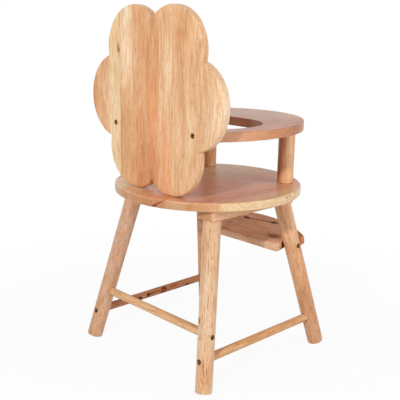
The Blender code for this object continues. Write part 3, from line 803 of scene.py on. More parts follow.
def bronze():
    """Dark bronze on steel, a little uneven."""
    material, tree, shader = new_material("bronze_screw")
    place = tree.nodes.new("ShaderNodeTexCoord").outputs["Object"]
    wear = noise_of(tree, vector_of(tree, "MULTIPLY", place, WEAR_SCALE), WEAR_DETAIL)
    tone = blended(tree, spread(tree, wear, *WEAR_RANGE), DARK_BRONZE, WORN_BRONZE)
    feed(tree, shader["Base Color"], tone)
    feed(tree, shader["Roughness"], spread(tree, wear, NOISE_LOW, NOISE_HIGH, *BRONZE_ROUGHNESS))
    shader["Metallic"].default_value = BRONZE_METAL_SHARE
    return material


points_mesh = bpy.data.meshes.new("screw_points")
points_mesh.from_pydata([face for face, _, _ in screw_lines.values()], [], [])
turns = points_mesh.attributes.new("turn", "FLOAT_VECTOR", "POINT").name
lengths = points_mesh.attributes.new("shank_length", "FLOAT", "POINT").name
for number, (_, outward, length) in enumerate(screw_lines.values()):
    twisted = towards(Vector(), outward) @ Matrix.Rotation(RECESS_TWIST * number, 4, "Z")
    points_mesh.attributes[turns].data[number].vector = twisted.to_euler()
    points_mesh.attributes[lengths].data[number].value = length
screw_points = put_in_scene("screw_points", points_mesh)
run_tree(screw_points, cross_head_screws, {"Material": bronze()})
screw_mesh = plain_mesh(screw_points, "screws")
screw_mesh.shade_smooth()
screw_mesh.set_sharp_from_angle(angle=SCREW_CREASE)
on_the_frame("screws", screw_mesh, "screw_steel", *screw_names)
print("set", len(screw_names), "screws with", len(screw_mesh.polygons), "faces")

# %% [markdown]
# The legs, posts, stretchers and dowels are all round bars, straight or slightly tapered, so they are
# one more rule for Geometry Nodes: a cone with many rings, from one end's radius to the other's. Each
# bar is then placed along its own line. Legs could be turned one by one, but a tree with named inputs
# says plainly that they differ only in three sizes.

# %% The round bar tree
BAR_SIDES = 56
BAR_LENGTH = 0.2
BAR_RADIUS = 0.012
BAR_RINGS = 40
RING_STEP = 0.006
FEWEST_RINGS = 2


def bar_tree():
    """A round bar along +Z from the origin."""
    tree, given, result = tree_with_inputs("round_bar", {
        "Length": BAR_LENGTH,
        "Start Radius": BAR_RADIUS,
        "End Radius": BAR_RADIUS,
        "Sides": BAR_SIDES,
        "Rings": BAR_RINGS,
        "Material": None,
    })
    bar = make_node(tree, "GeometryNodeMeshCone", Vertices=given["Sides"], Side_Segments=given["Rings"],
                    Radius_Top=given["End Radius"], Radius_Bottom=given["Start Radius"],
                    Depth=given["Length"])
    return hand_over(tree, bar.outputs["Mesh"], given["Material"], result)


round_bar = bar_tree()


def bar_between(name, start, finish, start_radius, end_radius, material=None):
    """A round bar's mesh from one point to another."""
    made = put_in_scene(name + "_bar", bpy.data.meshes.new(name + "_bar"))
    length = (finish - start).length
    rings = max(FEWEST_RINGS, round(length / RING_STEP))
    run_tree(made, round_bar, {"Length": length, "Start Radius": start_radius,
                               "End Radius": end_radius, "Rings": rings, "Material": material})
    mesh = plain_mesh(made, name)
    mesh.transform(towards(start, finish - start))
    return mesh


def trim_level(mesh, height):
    """Cut a leg off level at a height, close the cut and mark the sole's rim for easing."""
    form = bmesh.new()
    form.from_mesh(mesh)
    bmesh.ops.remove_doubles(form, verts=form.verts, dist=MERGE_DISTANCE)
    everything = form.verts[:] + form.edges[:] + form.faces[:]
    result = bmesh.ops.bisect_plane(form, geom=everything, plane_co=(0, 0, height),
                                    plane_no=(0, 0, 1), clear_outer=True)
    rim = [item for item in result["geom_cut"] if isinstance(item, bmesh.types.BMEdge)]
    bmesh.ops.contextual_create(form, geom=rim)
    bmesh.ops.recalc_face_normals(form, faces=form.faces)
    weights = form.edges.layers.float.new("bevel_weight_edge")
    sole_face = min(form.faces, key=lambda face: face.normal.z)
    for edge in sole_face.edges:
        edge[weights] = 1.0
    form.to_mesh(mesh)
    form.free()


def make_bar(node, start, finish, radii, grain, easing=0.0, holes=(), level=None, **look):
    """A node's wooden bar, cut off level at a height where one is given."""
    wood = hardwood(node + "_wood", grain, **look)
    mesh = bar_between(node + "_wood", start, finish, *radii, wood)
    if level:
        trim_level(mesh, level)
    finish_wood(node, mesh, wood, "turned_wood", easing, holes, marked=bool(level))


print("bar helpers ready")

# %% [markdown]
# The legs splay to the side and fore and aft, their soles are cut square and their tops level. The
# near leg in the photograph is the palest, with long orange streaks at its foot. Each leg has its own
# wood, whose fibres follow its centre line.

# %% Make the legs
LEG_TOP_X = 0.08722
LEG_TOP_Y = 0.07539
LEG_HEIGHT = 0.2350
LEG_SPLAY_SIDE = 0.178
LEG_SPLAY_FORE = 0.218
LEG_FOOT_RADIUS = 0.0121
LEG_TOP_RADIUS = 0.0130
SOLE_EASING = 0.0014
CHAIR_SETBACK = 0.00325
STRETCHER_RADIUS = 0.00625
SOCKET_CLEARANCE = 0.0003
NEAR_LEG_LINE = 2 * LEG_FOOT_RADIUS
BAR_FIGURE = 1.4
LEG_SPECKS = 0.70

SIDES = {"left": 1, "right": -1}
ENDS = {"rear": 1, "front": -1}
REAR_LEFT, REAR_RIGHT, FRONT_LEFT, FRONT_RIGHT = (1, 1), (-1, 1), (1, -1), (-1, -1)
STRETCHERS = {
    "stretcher_rear": {"ends": (REAR_LEFT, REAR_RIGHT), "height": 0.0804},
    "stretcher_left": {"ends": (REAR_LEFT, FRONT_LEFT), "height": 0.0472},
    "stretcher_right": {"ends": (REAR_RIGHT, FRONT_RIGHT), "height": 0.0472},
}
LEG_WOODS = {
    "leg_rear_right": {"tone": colour(221, 188, 153), "seed": 74.2, "patches": [
        mark((-1, 195), (10, 45), PALE_TONE_AND_LIGHT, 0.6),
        mark((1, 28), (9, 34), ORANGE_TONE_AND_LIGHT, 0.9),
        mark((-2.4, 36), (1.2, 16), DARK_STREAK_AND_SHADE, turn=(0, 0, 0.1)),
        mark((2.3, 32), (1.1, 6), DARK_STREAK_AND_SHADE, 0.9),
        mark((4.2, 20), (1.2, 10), DARK_STREAK_AND_SHADE, 0.6),
        mark((7.8, 128), (1.2, 16), DARK_STREAK_AND_SHADE, 0.6),
        mark((-0.4, 128), (1.1, 14), DARK_STREAK_AND_SHADE, 0.6),
        mark((1.4, 224), (1.1, 10), DARK_STREAK_AND_SHADE, 0.5, turn=(0, 0, 0.25)),
        mark((0.4, 200), (1, 16), DARK_STREAK_AND_SHADE, 0.45, turn=(0, 0, -0.12)),
        mark((-1.2, 174), (1.2, 9), DARK_STREAK_AND_SHADE, 0.6, turn=(0, 0, 0.25)),
        mark((-11.5, 130), (4, 120), CREAM_TONE_AND_HIGHLIGHT, 0.7),
    ], "knots": [
        mark((-11, 100, 5.8), (1.6, 6, 4), KNOT_HALO, core=0.4),
        mark((-8.8, 76.2, 9), (1.2, 5.6, 3), KNOT_HALO, core=0.5),
    ]},
    "leg_rear_left": {"tone": colour(203, 165, 136), "seed": 90.5, "patches": [
        mark((-1, 50), (20, 90), PALE_TONE_AND_LIGHT, core=0.5),
        mark((-2, 50), (16, 90), ORANGE_TONE_AND_LIGHT, 0.8, core=0.5),
        mark((5, 226), (6, 20), BROWN_WOOD, 0.8),
    ]},
    "leg_front_right": {"tone": colour(223, 177, 137), "seed": 75.3, "patches": [
        # painted light: the next two patches make the leg paler and warmer near its top, against the
        # shade that the seat throws there
        mark((0, 210), (18, 45), PALE_TONE_AND_LIGHT, core=0.4),
        mark((-2, 205), (6, 40), ORANGE_TONE_AND_LIGHT, 0.6),
        mark((0, 40), (18, 110), UMBER_TONE_AND_SHADE, 0.5, core=0.5),
        mark((0, 40), (18, 110), GOLDEN_WOOD, 0.5, core=0.5),
    ]},
    "leg_front_left": {"tone": colour(214, 162, 124), "seed": 91.6, "patches": [
        mark((-7, 167), (3, 5), DARK_STREAK_AND_SHADE),
    ]},
}
leg_splay = math.atan(math.hypot(LEG_SPLAY_SIDE, LEG_SPLAY_FORE))
sole_height = (LEG_FOOT_RADIUS - SOLE_EASING) * math.sin(leg_splay)


def leg_point(side, end, height):
    """The point of a leg's centre line at a height."""
    below = LEG_HEIGHT - height
    return Vector((side * (LEG_TOP_X + LEG_SPLAY_SIDE * below),
                   end * (LEG_TOP_Y + LEG_SPLAY_FORE * below) + CHAIR_SETBACK, height))


def leg_radius(height):
    """The leg's radius at a height."""
    return LEG_FOOT_RADIUS + (LEG_TOP_RADIUS - LEG_FOOT_RADIUS) * height / LEG_HEIGHT


leg_radii = [leg_radius(sole_height), leg_radius(LEG_HEIGHT)]


def stretcher_line(bar):
    """The two points where a stretcher's line meets its legs' centre lines."""
    return [leg_point(*corner, bar["height"]) for corner in bar["ends"]]


sockets = {}
socket_radius = STRETCHER_RADIUS + SOCKET_CLEARANCE
for bar_name, bar in STRETCHERS.items():
    mesh = bar_between("socket_" + bar_name, *stretcher_line(bar), socket_radius, socket_radius)
    sockets[bar_name] = cutter("socket_" + bar_name, mesh)

for end_name, end in ENDS.items():
    for side_name, side in SIDES.items():
        leg_name = "leg_" + end_name + "_" + side_name
        sole = leg_point(side, end, sole_height)
        top = leg_point(side, end, LEG_HEIGHT)
        along = (top - sole).normalized()
        bored = [holes[name] for name, (face, _, _) in screw_lines.items()
                 if name.startswith(("screw_stretcher", "screw_footrest"))
                 and (face - sole).cross(along).length < NEAR_LEG_LINE]
        bored += [sockets[name] for name, bar in STRETCHERS.items() if (side, end) in bar["ends"]]
        make_bar(leg_name, sole, top + along * LEG_TOP_RADIUS, leg_radii,
                 grain_frame(along, CAMERA_RIGHT, sole), SOLE_EASING, bored, LEG_HEIGHT,
                 figure=BAR_FIGURE, specks=LEG_SPECKS, **LEG_WOODS[leg_name])
print("made", len(LEG_WOODS), "legs")

# %% [markdown]
# Each stretcher is a thin rod let into two legs, a few millimetres deep. The far one, on the left, is
# cut from darker stock with a chain of knots. The right one has painted shade, in the knots' dark
# colour, where it enters the front leg, standing for the shadow in the gap there. All three are matt,
# because their rough wood takes little finish.

# %% Make the stretchers
STRETCHER_SOCKET_DEPTH = 0.0047
STRETCHER_GLOSS = 0.15
STRETCHER_WOODS = {
    "stretcher_rear": {"tone": colour(226, 187, 146), "seed": 41.0},
    "stretcher_left": {"tone": colour(176, 124, 90), "seed": 50.0, "knots": [
        mark((1, 120), (6.6, 8), KNOT_AND_GAP_SHADE, core=0.6),
        mark((1, 120), (3.2, 4.2), KNOT_HALO, core=0.4),
        mark((2, 110), (3, 11), KNOT_HALO, 0.9),
        mark((0.6, 84), (4.4, 5.2), KNOT_AND_GAP_SHADE, core=0.6),
        mark((2, 93), (2.2, 11), KNOT_AND_GAP_SHADE, 0.8),
        mark((3, 145), (2, 16), KNOT_HALO),
        mark((-1, 66), (5, 6), KNOT_AND_GAP_SHADE),
        mark((-4.5, 151), (3, 7.5), KNOT_AND_GAP_SHADE),
        mark((-2, 175), (3, 7.5), KNOT_AND_GAP_SHADE),
    ]},
    "stretcher_right": {"tone": colour(215, 169, 124), "seed": 59.0, "knots": [
        # painted shade, in the knots' dark colour, for the gap where the bar enters the front leg
        mark((-4, 211), (3.6, 3.4), KNOT_AND_GAP_SHADE, 0.9, core=0.3),
    ]},
}


def leg_reach(side, end, height, direction):
    """How far the leg's surface lies from its centre line along a level direction."""
    along = (leg_point(side, end, LEG_HEIGHT) - leg_point(side, end, 0)).normalized()
    return leg_radius(height) / direction.cross(along).length


for bar_name, bar in STRETCHERS.items():
    start, finish = stretcher_line(bar)
    direction = (finish - start).normalized()
    inset = leg_reach(*bar["ends"][0], bar["height"], direction) - STRETCHER_SOCKET_DEPTH
    start += direction * inset
    finish -= direction * inset
    make_bar(bar_name, start, finish, (STRETCHER_RADIUS, STRETCHER_RADIUS),
             grain_frame(direction, (0, 0, 1), start), figure=BAR_FIGURE, gloss=STRETCHER_GLOSS,
             coat=0.0, **STRETCHER_WOODS[bar_name])
print("made", len(STRETCHERS), "stretchers")

# %% [markdown]
# Boards are flat outlines with a thickness. The outline's edges on both faces are marked, so that the
# Bevel eases them and leaves the upright corners crisp, as a router does when it follows the outline.

# %% A board from an outline
QUARTER_TURN = math.radians(90)
BOARD_EASING = 0.0020


def arc(centre, radius, start, end, segments):
    """Points along an arc, both ends included."""
    angles = [start + (end - start) * step / segments for step in range(segments + 1)]
    return [(centre[0] + radius * math.cos(angle), centre[1] + radius * math.sin(angle))
            for angle in angles]


def angle_to(centre, point):
    """The direction from a centre to a point."""
    return math.atan2(point[1] - centre[1], point[0] - centre[0])


def mirrored(half):
    """A half outline at +X joined to its mirror image."""
    return half + [(-x, y) for x, y in reversed(half) if x > MERGE_DISTANCE]


def board_mesh(name, outline, thickness, placing):
    """A board between two copies of an outline, its face edges marked for easing."""
    form = bmesh.new()
    low = [form.verts.new((x, y, -thickness / 2)) for x, y in outline]
    high = [form.verts.new((x, y, thickness / 2)) for x, y in outline]
    faces = [form.faces.new(list(reversed(low))), form.faces.new(high)]
    for step in range(len(outline)):
        after = (step + 1) % len(outline)
        form.faces.new((low[step], low[after], high[after], high[step]))
    weights = form.edges.layers.float.new("bevel_weight_edge")
    for edge in (edge for face in faces for edge in face.edges):
        edge[weights] = 1.0
    bmesh.ops.recalc_face_normals(form, faces=form.faces)
    mesh = mesh_from(name, form)
    mesh.transform(placing)
    return mesh


def make_board(node, outline, thickness, placing, grain, easing=BOARD_EASING, holes=(),
               slot="board_wood", **look):
    """A node's wooden board."""
    wood = hardwood(node + "_wood", grain, **look)
    mesh = board_mesh(node + "_wood", outline, thickness, placing)
    finish_wood(node, mesh, wood, slot, easing, holes, marked=True)


print("board helpers ready")

# %% [markdown]
# The back is one flower of six round lobes: two at the top, two wider ones at the sides and two that
# stand on the seat. Where circles cross, the outline turns a sharp inner corner, which is what makes
# it read as a flower. Its staves run upright, about 28 mm wide, and the photograph shows a pale one
# near the left edge and orange ones in the middle.

# %% Make the back panel
LOBE_SEGMENTS = 40
TOP_LOBE = {"x": 0.041, "height": 0.2003, "radius": 0.059}
SIDE_LOBE = {"x": 0.0795, "height": 0.1286, "radius": 0.062}
BOTTOM_LOBE = {"x": 0.039, "height": 0.0565, "radius": 0.0575}
PANEL_SEED = 2.0
PANEL_FIGURE = 1.35
PANEL_SPECKS = 0.4
PALE = colour(229, 200, 157)
HONEY = colour(229, 189, 148)
ROSY = colour(224, 177, 134)
AMBER = colour(225, 171, 125)

panel_low, panel_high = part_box("back_panel")
panel_middle_y = (panel_low.y + panel_high.y) / 2
panel_thickness = panel_high.y - panel_low.y


def crossing(first, second):
    """Where two lobes' circles cross, on the outer side."""
    a = Vector((first["x"], first["height"]))
    b = Vector((second["x"], second["height"]))
    gap = (b - a).length
    along = (first["radius"] ** 2 - second["radius"] ** 2 + gap ** 2) / (2 * gap)
    away = math.sqrt(first["radius"] ** 2 - along ** 2)
    unit = (b - a) / gap
    aside = Vector((-unit.y, unit.x)) * away
    return max(tuple(a + unit * along + aside), tuple(a + unit * along - aside))


def lobe_arc(lobe, start, end, segments):
    """The part of a lobe's rim between two points."""
    centre = (lobe["x"], lobe["height"])
    return arc(centre, lobe["radius"], angle_to(centre, start), angle_to(centre, end), segments)


def notch_reach(lobe):
    """How far above or below its centre a lobe's rim meets its mirror image."""
    return math.sqrt(lobe["radius"] ** 2 - lobe["x"] ** 2)


def flower_outline():
    """The flower: x, and height above the panel's foot."""
    top_notch = (0, TOP_LOBE["height"] + notch_reach(TOP_LOBE))
    bottom_notch = (0, BOTTOM_LOBE["height"] - notch_reach(BOTTOM_LOBE))
    high_waist = crossing(TOP_LOBE, SIDE_LOBE)
    low_waist = crossing(SIDE_LOBE, BOTTOM_LOBE)
    half_flat = math.sqrt(BOTTOM_LOBE["radius"] ** 2 - BOTTOM_LOBE["height"] ** 2)
    half = lobe_arc(TOP_LOBE, top_notch, high_waist, LOBE_SEGMENTS)
    half += lobe_arc(SIDE_LOBE, high_waist, low_waist, LOBE_SEGMENTS)[1:]
    half += lobe_arc(BOTTOM_LOBE, low_waist, (BOTTOM_LOBE["x"] + half_flat, 0), LOBE_SEGMENTS // 2)[1:]
    half += lobe_arc(BOTTOM_LOBE, (BOTTOM_LOBE["x"] - half_flat, 0), bottom_notch, LOBE_SEGMENTS // 4)
    return mirrored(half)


panel_staves = staves(
    [-98, -70, -42, -14, 14, 42, 70, 98],
    [HONEY, HONEY, HONEY, HONEY, ROSY, ROSY, HONEY, PALE, ROSY],
)
panel_patches = [
    mark((61, 470), (14, 85), CREAM_TONE_AND_HIGHLIGHT, 0.9, core=0.4, between=(42, 70)),
    mark((52, 508), (16, 30), CREAM_TONE_AND_HIGHLIGHT, 0.8, between=(42, 70)),
    mark((37.5, 447), (2.2, 16), CREAM_TONE_AND_HIGHLIGHT, 0.9),
    mark((88, 485), (7, 10), ORANGE_TONE_AND_LIGHT, 0.7),
    mark((79.5, 480), (5, 14), BROWN_WOOD, 0.6),
    mark((76.5, 465), (6, 12), ORANGE_TONE_AND_LIGHT),
    mark((142, 395), (26, 90), BROWN_WOOD, 0.6),
    mark((50, 325), (45, 95), BROWN_WOOD, 0.9, core=0.5, between=(42, 70)),
    mark((68, 360), (4, 80), BROWN_WOOD, 0.7, between=(42, 70)),
    mark((24, 310), (22, 90), BROWN_WOOD, 0.9, between=(-14, 42)),
    mark((34, 400), (8, 60), BROWN_WOOD, 0.6, between=(14, 42)),
    mark((18, 478), (6, 30), BROWN_WOOD, 0.9),
    mark((26, 470), (5, 12), ORANGE_TONE_AND_LIGHT, 0.7),
    mark((8.5, 415), (6, 75), ORANGE_TONE_AND_LIGHT, 0.85, core=0.4),
    mark((8.5, 415), (2.6, 85), RUSSET_WOOD, 0.8, core=0.4),
    mark((-6.5, 390), (4, 60), ORANGE_TONE_AND_LIGHT, 0.6, core=0.4),
    mark((100, 425), (12, 50), CREAM_TONE_AND_HIGHLIGHT, 0.5),
    mark((-4.5, 408), (10, 45), ORANGE_TONE_AND_LIGHT, 0.75, core=0.4),
    mark((2, 340), (12, 60), ORANGE_TONE_AND_LIGHT, 0.7),
    mark((0, 298), (18, 45), BROWN_WOOD, core=0.4),
    mark((-34, 320), (16, 85), ORANGE_TONE_AND_LIGHT, 0.7, between=(-42, -14)),
    mark((-36, 460), (10, 60), CREAM_TONE_AND_HIGHLIGHT, 0.5, between=(-42, -14)),
    mark((-58, 496), (34, 34), BROWN_WOOD, 0.8, core=0.4, between=(-98, -42)),
    mark((0, 300), (60, 110), RUSSET_WOOD, 0.8, core=0.3),
    mark((-82, 360), (18, 80), CREAM_TONE_AND_HIGHLIGHT, 0.6, between=(-98, -70)),
    mark((-122, 380), (34, 85), CREAM_TONE_AND_HIGHLIGHT, 0.6, core=0.5),
    # painted highlight: a pale streak down the rim of the right side lobe
    mark((-142.5, 395), (6, 70), CREAM_TONE_AND_HIGHLIGHT, 0.7, core=0.5),
    mark((70.5, 350), (1.2, 95), DARK_STREAK_AND_SHADE, 0.9),
    # painted shade in the notch between the bottom lobes
    mark((0, 279), (6, 5), DARK_STREAK_AND_SHADE, core=0.5),
    mark((-24, 362), (1, 42), DARK_STREAK_AND_SHADE, 0.7),
    mark((-40.8, 362), (1, 42), DARK_STREAK_AND_SHADE, 0.7),
    mark((-42, 420), (1, 40), DARK_STREAK_AND_SHADE, 0.7),
    mark((-98, 385), (1.2, 55), DARK_STREAK_AND_SHADE, 0.9),
    mark((-130, 414), (2.6, 22), ORANGE_TONE_AND_LIGHT, turn=(0, 0, -0.35)),
    mark((-123, 430), (2.4, 16), ORANGE_TONE_AND_LIGHT, 0.8, turn=(0, 0, -0.25)),
    mark((-108, 425), (3, 20), BROWN_WOOD, 0.5),
]
panel_knots = [
    mark((77.5, 467), (3.6, 6), PIN_KNOT, 0.6),
    mark((74.8, 460.5), (3, 4.6), PIN_KNOT, core=0.4),
    mark((73.5, 454), (1.6, 3), PIN_KNOT, 0.6),
    mark((34.8, 462), (2.2, 3.6), PIN_KNOT, 0.6),
]
standing = (Matrix.Translation((0, panel_middle_y, panel_low.z))
            @ Matrix.Rotation(QUARTER_TURN, 4, "X"))
# painted light: the rims of the lobes, where they cut across the staves, are tinted paler instead of
# browner
make_board("back_panel", flower_outline(), panel_thickness, standing,
           grain_frame((0, 0, 1), (1, 0, 0)), holes=holes_of("screw_tray"), tone=panel_staves,
           patches=panel_patches, knots=panel_knots, seed=PANEL_SEED, figure=PANEL_FIGURE,
           specks=PANEL_SPECKS, ends=PALE_TONE_AND_LIGHT)
print("the panel is", round(panel_high.z - panel_low.z, 4), "m high")

# %% [markdown]
# The seat is a plain disc with a well rounded rim. It is turned from a board of staves that run from
# front to back; the rim shows their side grain at the sides and their ends at the back.

# %% Make the seat
SEAT_SIDES = 180
SEAT_EASING = 0.0030
SEAT_SEED = 17.0
SEAT_COAT = 0.22

seat_low, seat_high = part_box("seat")
seat_radius = (seat_high.x - seat_low.x) / 2
seat_centre = (seat_low + seat_high) / 2
seat_outline = arc((0, 0), seat_radius, 0, math.tau, SEAT_SIDES)[:-1]
seat_staves = staves(
    [-114, -83, -52, -21, 10, 41, 72, 103],
    [PALE, ROSY, HONEY, AMBER, ROSY, HONEY, PALE, HONEY, ROSY],
)
seat_patches = [
    # painted sheen: the seat is paler and greyer towards its left and back, the second patch on its top
    # only
    mark((60, 60), (130, 180), PAINTED_SHEEN, 0.7, core=0.4),
    mark((50, 110, 6.6), (110, 100, 2), PAINTED_SHEEN, 0.9),
    # painted shade: the seat's top is darker and redder, most of all towards its right
    mark((-50, 30, 6.6), (150, 200, 1.4), PAINTED_RED_SHADE, core=0.3),
    # painted reflection: a lilac cast on the seat's top towards its right and back
    mark((-90, 60, 6.6), (80, 110, 1.4), PAINTED_LILAC_REFLECTION, 0.5),
    mark((-82, 117), (6, 12, 6), BROWN_WOOD, 0.8),
]
seat_knots = [
    mark((-42, 137, 0.6), (15, 12, 1.5), KNOT_HALO, core=0.4, turn=(0, 0.54, 0)),
    mark((-36, 139, -3.5), (5.2, 12, 1.5), KNOT_AND_GAP_SHADE, 0.9, core=0.4, turn=(0, 0.4, 0)),
    mark((-141, -20, 3), (3, 3.2, 2.4), KNOT_HALO),
    mark((-139.5, -29, 4), (3, 3.2, 2.4), KNOT_HALO),
]
make_board("seat", seat_outline, seat_high.z - seat_low.z, Matrix.Translation(seat_centre),
           grain_frame((0, 1, 0), (1, 0, 0), seat_centre), SEAT_EASING,
           holes_of("screw_post", "screw_panel"), tone=seat_staves, patches=seat_patches,
           knots=seat_knots, seed=SEAT_SEED, coat=SEAT_COAT)
print("the seat is", round(2 * seat_radius, 4), "m across")

# %% [markdown]
# The tray is an oval cut off at the panel, with a rounded opening over the seat. It could be drawn as
# a curve and filled, but its outline follows two arcs and an ellipse, so the points are computed. It
# has more clear coat than the rest, which gives its top the grey sheen of the photograph.

# %% Make the tray
TRAY_HALF_WIDTH = 0.1395
TRAY_FRONT = 0.149
TRAY_WIDEST_SETBACK = 0.005
TRAY_SEGMENTS = 60
OPENING_HALF_WIDTH = 0.1065
OPENING_FRONT = 0.040
OPENING_FRONT_CORNER = 0.062
OPENING_REAR_CORNER = 0.076
OPENING_RUNOUT = 0.002
OPENING_SEGMENTS = 28
TRAY_REAR = 0.1000
TRAY_SEED = 29.0
TRAY_COAT = 0.35


def tray_outline():
    """The horseshoe outline in the chair's own frame."""
    reach = TRAY_FRONT + TRAY_WIDEST_SETBACK
    last = math.acos((TRAY_WIDEST_SETBACK - TRAY_REAR) / reach)
    half = []
    for step in range(TRAY_SEGMENTS + 1):
        angle = last * step / TRAY_SEGMENTS
        half.append((TRAY_HALF_WIDTH * math.sin(angle), TRAY_WIDEST_SETBACK - reach * math.cos(angle)))
    rear_centre = (OPENING_HALF_WIDTH - OPENING_REAR_CORNER,
                   TRAY_REAR + OPENING_RUNOUT - OPENING_REAR_CORNER)
    front_centre = (OPENING_HALF_WIDTH - OPENING_FRONT_CORNER, OPENING_FRONT_CORNER - OPENING_FRONT)
    mouth = math.asin((OPENING_REAR_CORNER - OPENING_RUNOUT) / OPENING_REAR_CORNER)
    half += arc(rear_centre, OPENING_REAR_CORNER, mouth, 0, OPENING_SEGMENTS)
    half += arc(front_centre, OPENING_FRONT_CORNER, 0, -QUARTER_TURN, OPENING_SEGMENTS)
    half.append((0, -OPENING_FRONT))
    return mirrored(half)


tray_low, tray_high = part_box("tray")
tray_middle = (tray_low.z + tray_high.z) / 2
tray_staves = staves(
    [-112, -84, -56, -28, 0, 28, 56, 84, 112],
    [ROSY, HONEY, ROSY, HONEY, ROSY, HONEY, ROSY, HONEY, ROSY, HONEY],
)
tray_patches = [
    # painted reflection: the whole tray is darkened with a lilac cast, standing for the lilac
    # reflection on its top
    mark((-30, 0), (400, 400), PAINTED_LILAC_REFLECTION, 0.9, core=0.9),
    mark((-130, -60), (70, 100), GOLDEN_WOOD, core=0.6),
    mark((-120, -75), (55, 80), BROWN_WOOD, core=0.6),
    mark((-128, -82), (45, 50), GOLDEN_WOOD, core=0.7),
    mark((-134, -75), (34, 50), BROWN_WOOD, core=0.7),
    # painted shade: the tray's top is darker and redder towards its right
    mark((-100, 0, 6.7), (160, 200, 1.6), PAINTED_RED_SHADE, 0.4, core=0.4),
    mark((-130, -40), (60, 110), GOLDEN_WOOD, core=0.6),
]
tray_knots = [
    mark((-134.6, -32, 5.6), (3, 4.4, 1.4), KNOT_AND_GAP_SHADE, core=0.4),
]
make_board("tray", tray_outline(), tray_high.z - tray_low.z,
           Matrix.Translation((0, CHAIR_SETBACK, tray_middle)),
           grain_frame((0, 1, 0), (1, 0, 0), (0, 0, tray_middle)), tone=tray_staves,
           patches=tray_patches, knots=tray_knots, seed=TRAY_SEED, coat=TRAY_COAT)
print("the tray is", round(tray_high.x - tray_low.x, 4), "m wide")

# %% [markdown]
# The footrest is a half-moon tilted square to the front legs. Its rear corners are cut away so that
# its wings reach round the legs' front, and round scallops fit it to the legs. Its top is the most
# cloudy wood of the whole chair. A dark crack with a knot hole at each end runs along its front; they
# are real hollows, cut with sloped walls, and a stain along them darkens the wood.

# %% Make the footrest
FOOTREST_HEIGHT = 0.1675
FOOTREST_THICKNESS = 0.0130
FOOTREST_REAR = 0.0250
FOOTREST_FRONT = 0.0532
FOOTREST_WING_FRONT = 0.0220
FOOTREST_WING_REACH = 0.00777
FOOTREST_WING_CORNER = 0.006
FOOTREST_REAR_CORNER = 0.005
FOOTREST_END_LET_IN = 0.0024
FOOTREST_SHOULDER_LET_IN = 0.0012
FOOTREST_SEGMENTS = 32
CORNER_SEGMENTS = 10
SCALLOP_CLEARANCE = 0.0003
CRACK_ENDS = ((0.0230, -0.0290), (-0.0318, -0.0356))
CRACK_HALF_WIDTH = 0.0009
CRACK_DEPTH = 0.0013
PIT_HALF_LENGTH = 0.0062
PIT_HALF_WIDTH = 0.0022
PIT_DEPTH = 0.0028
PIT_SIDES = 20
PIT_TWIST = math.radians(7)
PIT_MOUTH_SHARE = 1.6
PIT_BOTTOM_SHARE = 0.4
FOOTREST_TONE = colour(230, 184, 150)
FOOTREST_SEED = 53.0
FOOTREST_FIGURE = 1.5
FOOTREST_GLOSS = 0.1

footrest_middle = Vector((0, leg_point(*FRONT_LEFT, FOOTREST_HEIGHT).y, FOOTREST_HEIGHT))
footrest_tilt = Matrix.Rotation(-math.atan(LEG_SPLAY_FORE), 4, "X")
footrest_rear_side = footrest_tilt.to_3x3() @ Vector((0, 1, 0))
footrest_placing = Matrix.Translation(footrest_middle) @ footrest_tilt


def footrest_outline():
    """A half-moon whose rear corners are cut away, in the board's own plan."""
    leg_x = leg_point(*FRONT_LEFT, FOOTREST_HEIGHT).x
    end = leg_x - leg_reach(*FRONT_LEFT, FOOTREST_HEIGHT, Vector((1, 0, 0))) + FOOTREST_END_LET_IN
    half_width = leg_x + FOOTREST_WING_REACH
    shoulder = FOOTREST_SHOULDER_LET_IN - leg_radius(FOOTREST_HEIGHT)
    bow = FOOTREST_FRONT - FOOTREST_WING_FRONT
    arc_radius = (half_width ** 2 + bow ** 2) / (2 * bow)
    centre = (0, arc_radius - FOOTREST_FRONT)
    wing_x = half_width - FOOTREST_WING_CORNER
    wing_radius = arc_radius - FOOTREST_WING_CORNER
    wing_corner = (wing_x, centre[1] - math.sqrt(wing_radius ** 2 - wing_x ** 2))
    meeting = angle_to(centre, wing_corner)
    rear_corner = (end - FOOTREST_REAR_CORNER, FOOTREST_REAR - FOOTREST_REAR_CORNER)
    half = arc(centre, arc_radius, -QUARTER_TURN, meeting, FOOTREST_SEGMENTS)
    half[0] = (0, -FOOTREST_FRONT)
    half += arc(wing_corner, FOOTREST_WING_CORNER, meeting, 0, CORNER_SEGMENTS)[1:]
    half += [(half_width, shoulder), (end, shoulder)]
    half += arc(rear_corner, FOOTREST_REAR_CORNER, 0, QUARTER_TURN, CORNER_SEGMENTS)
    half.append((0, FOOTREST_REAR))
    return mirrored(half)


def footrest_pit(name, place, half_length, half_width, depth, turned):
    """A cutter for a crack or a knot hole in the footrest's top, from a stretched turned solid."""
    profile = [(PIT_MOUTH_SHARE, depth), (PIT_BOTTOM_SHARE, -depth)]
    on_top = Matrix.Translation((*place, FOOTREST_THICKNESS / 2))
    placing = (footrest_placing @ on_top @ Matrix.Rotation(turned, 4, "Z")
               @ Matrix.Diagonal((half_length, half_width, 1, 1)))
    return cutter(name, turned_solid(name, profile, PIT_SIDES), placing)


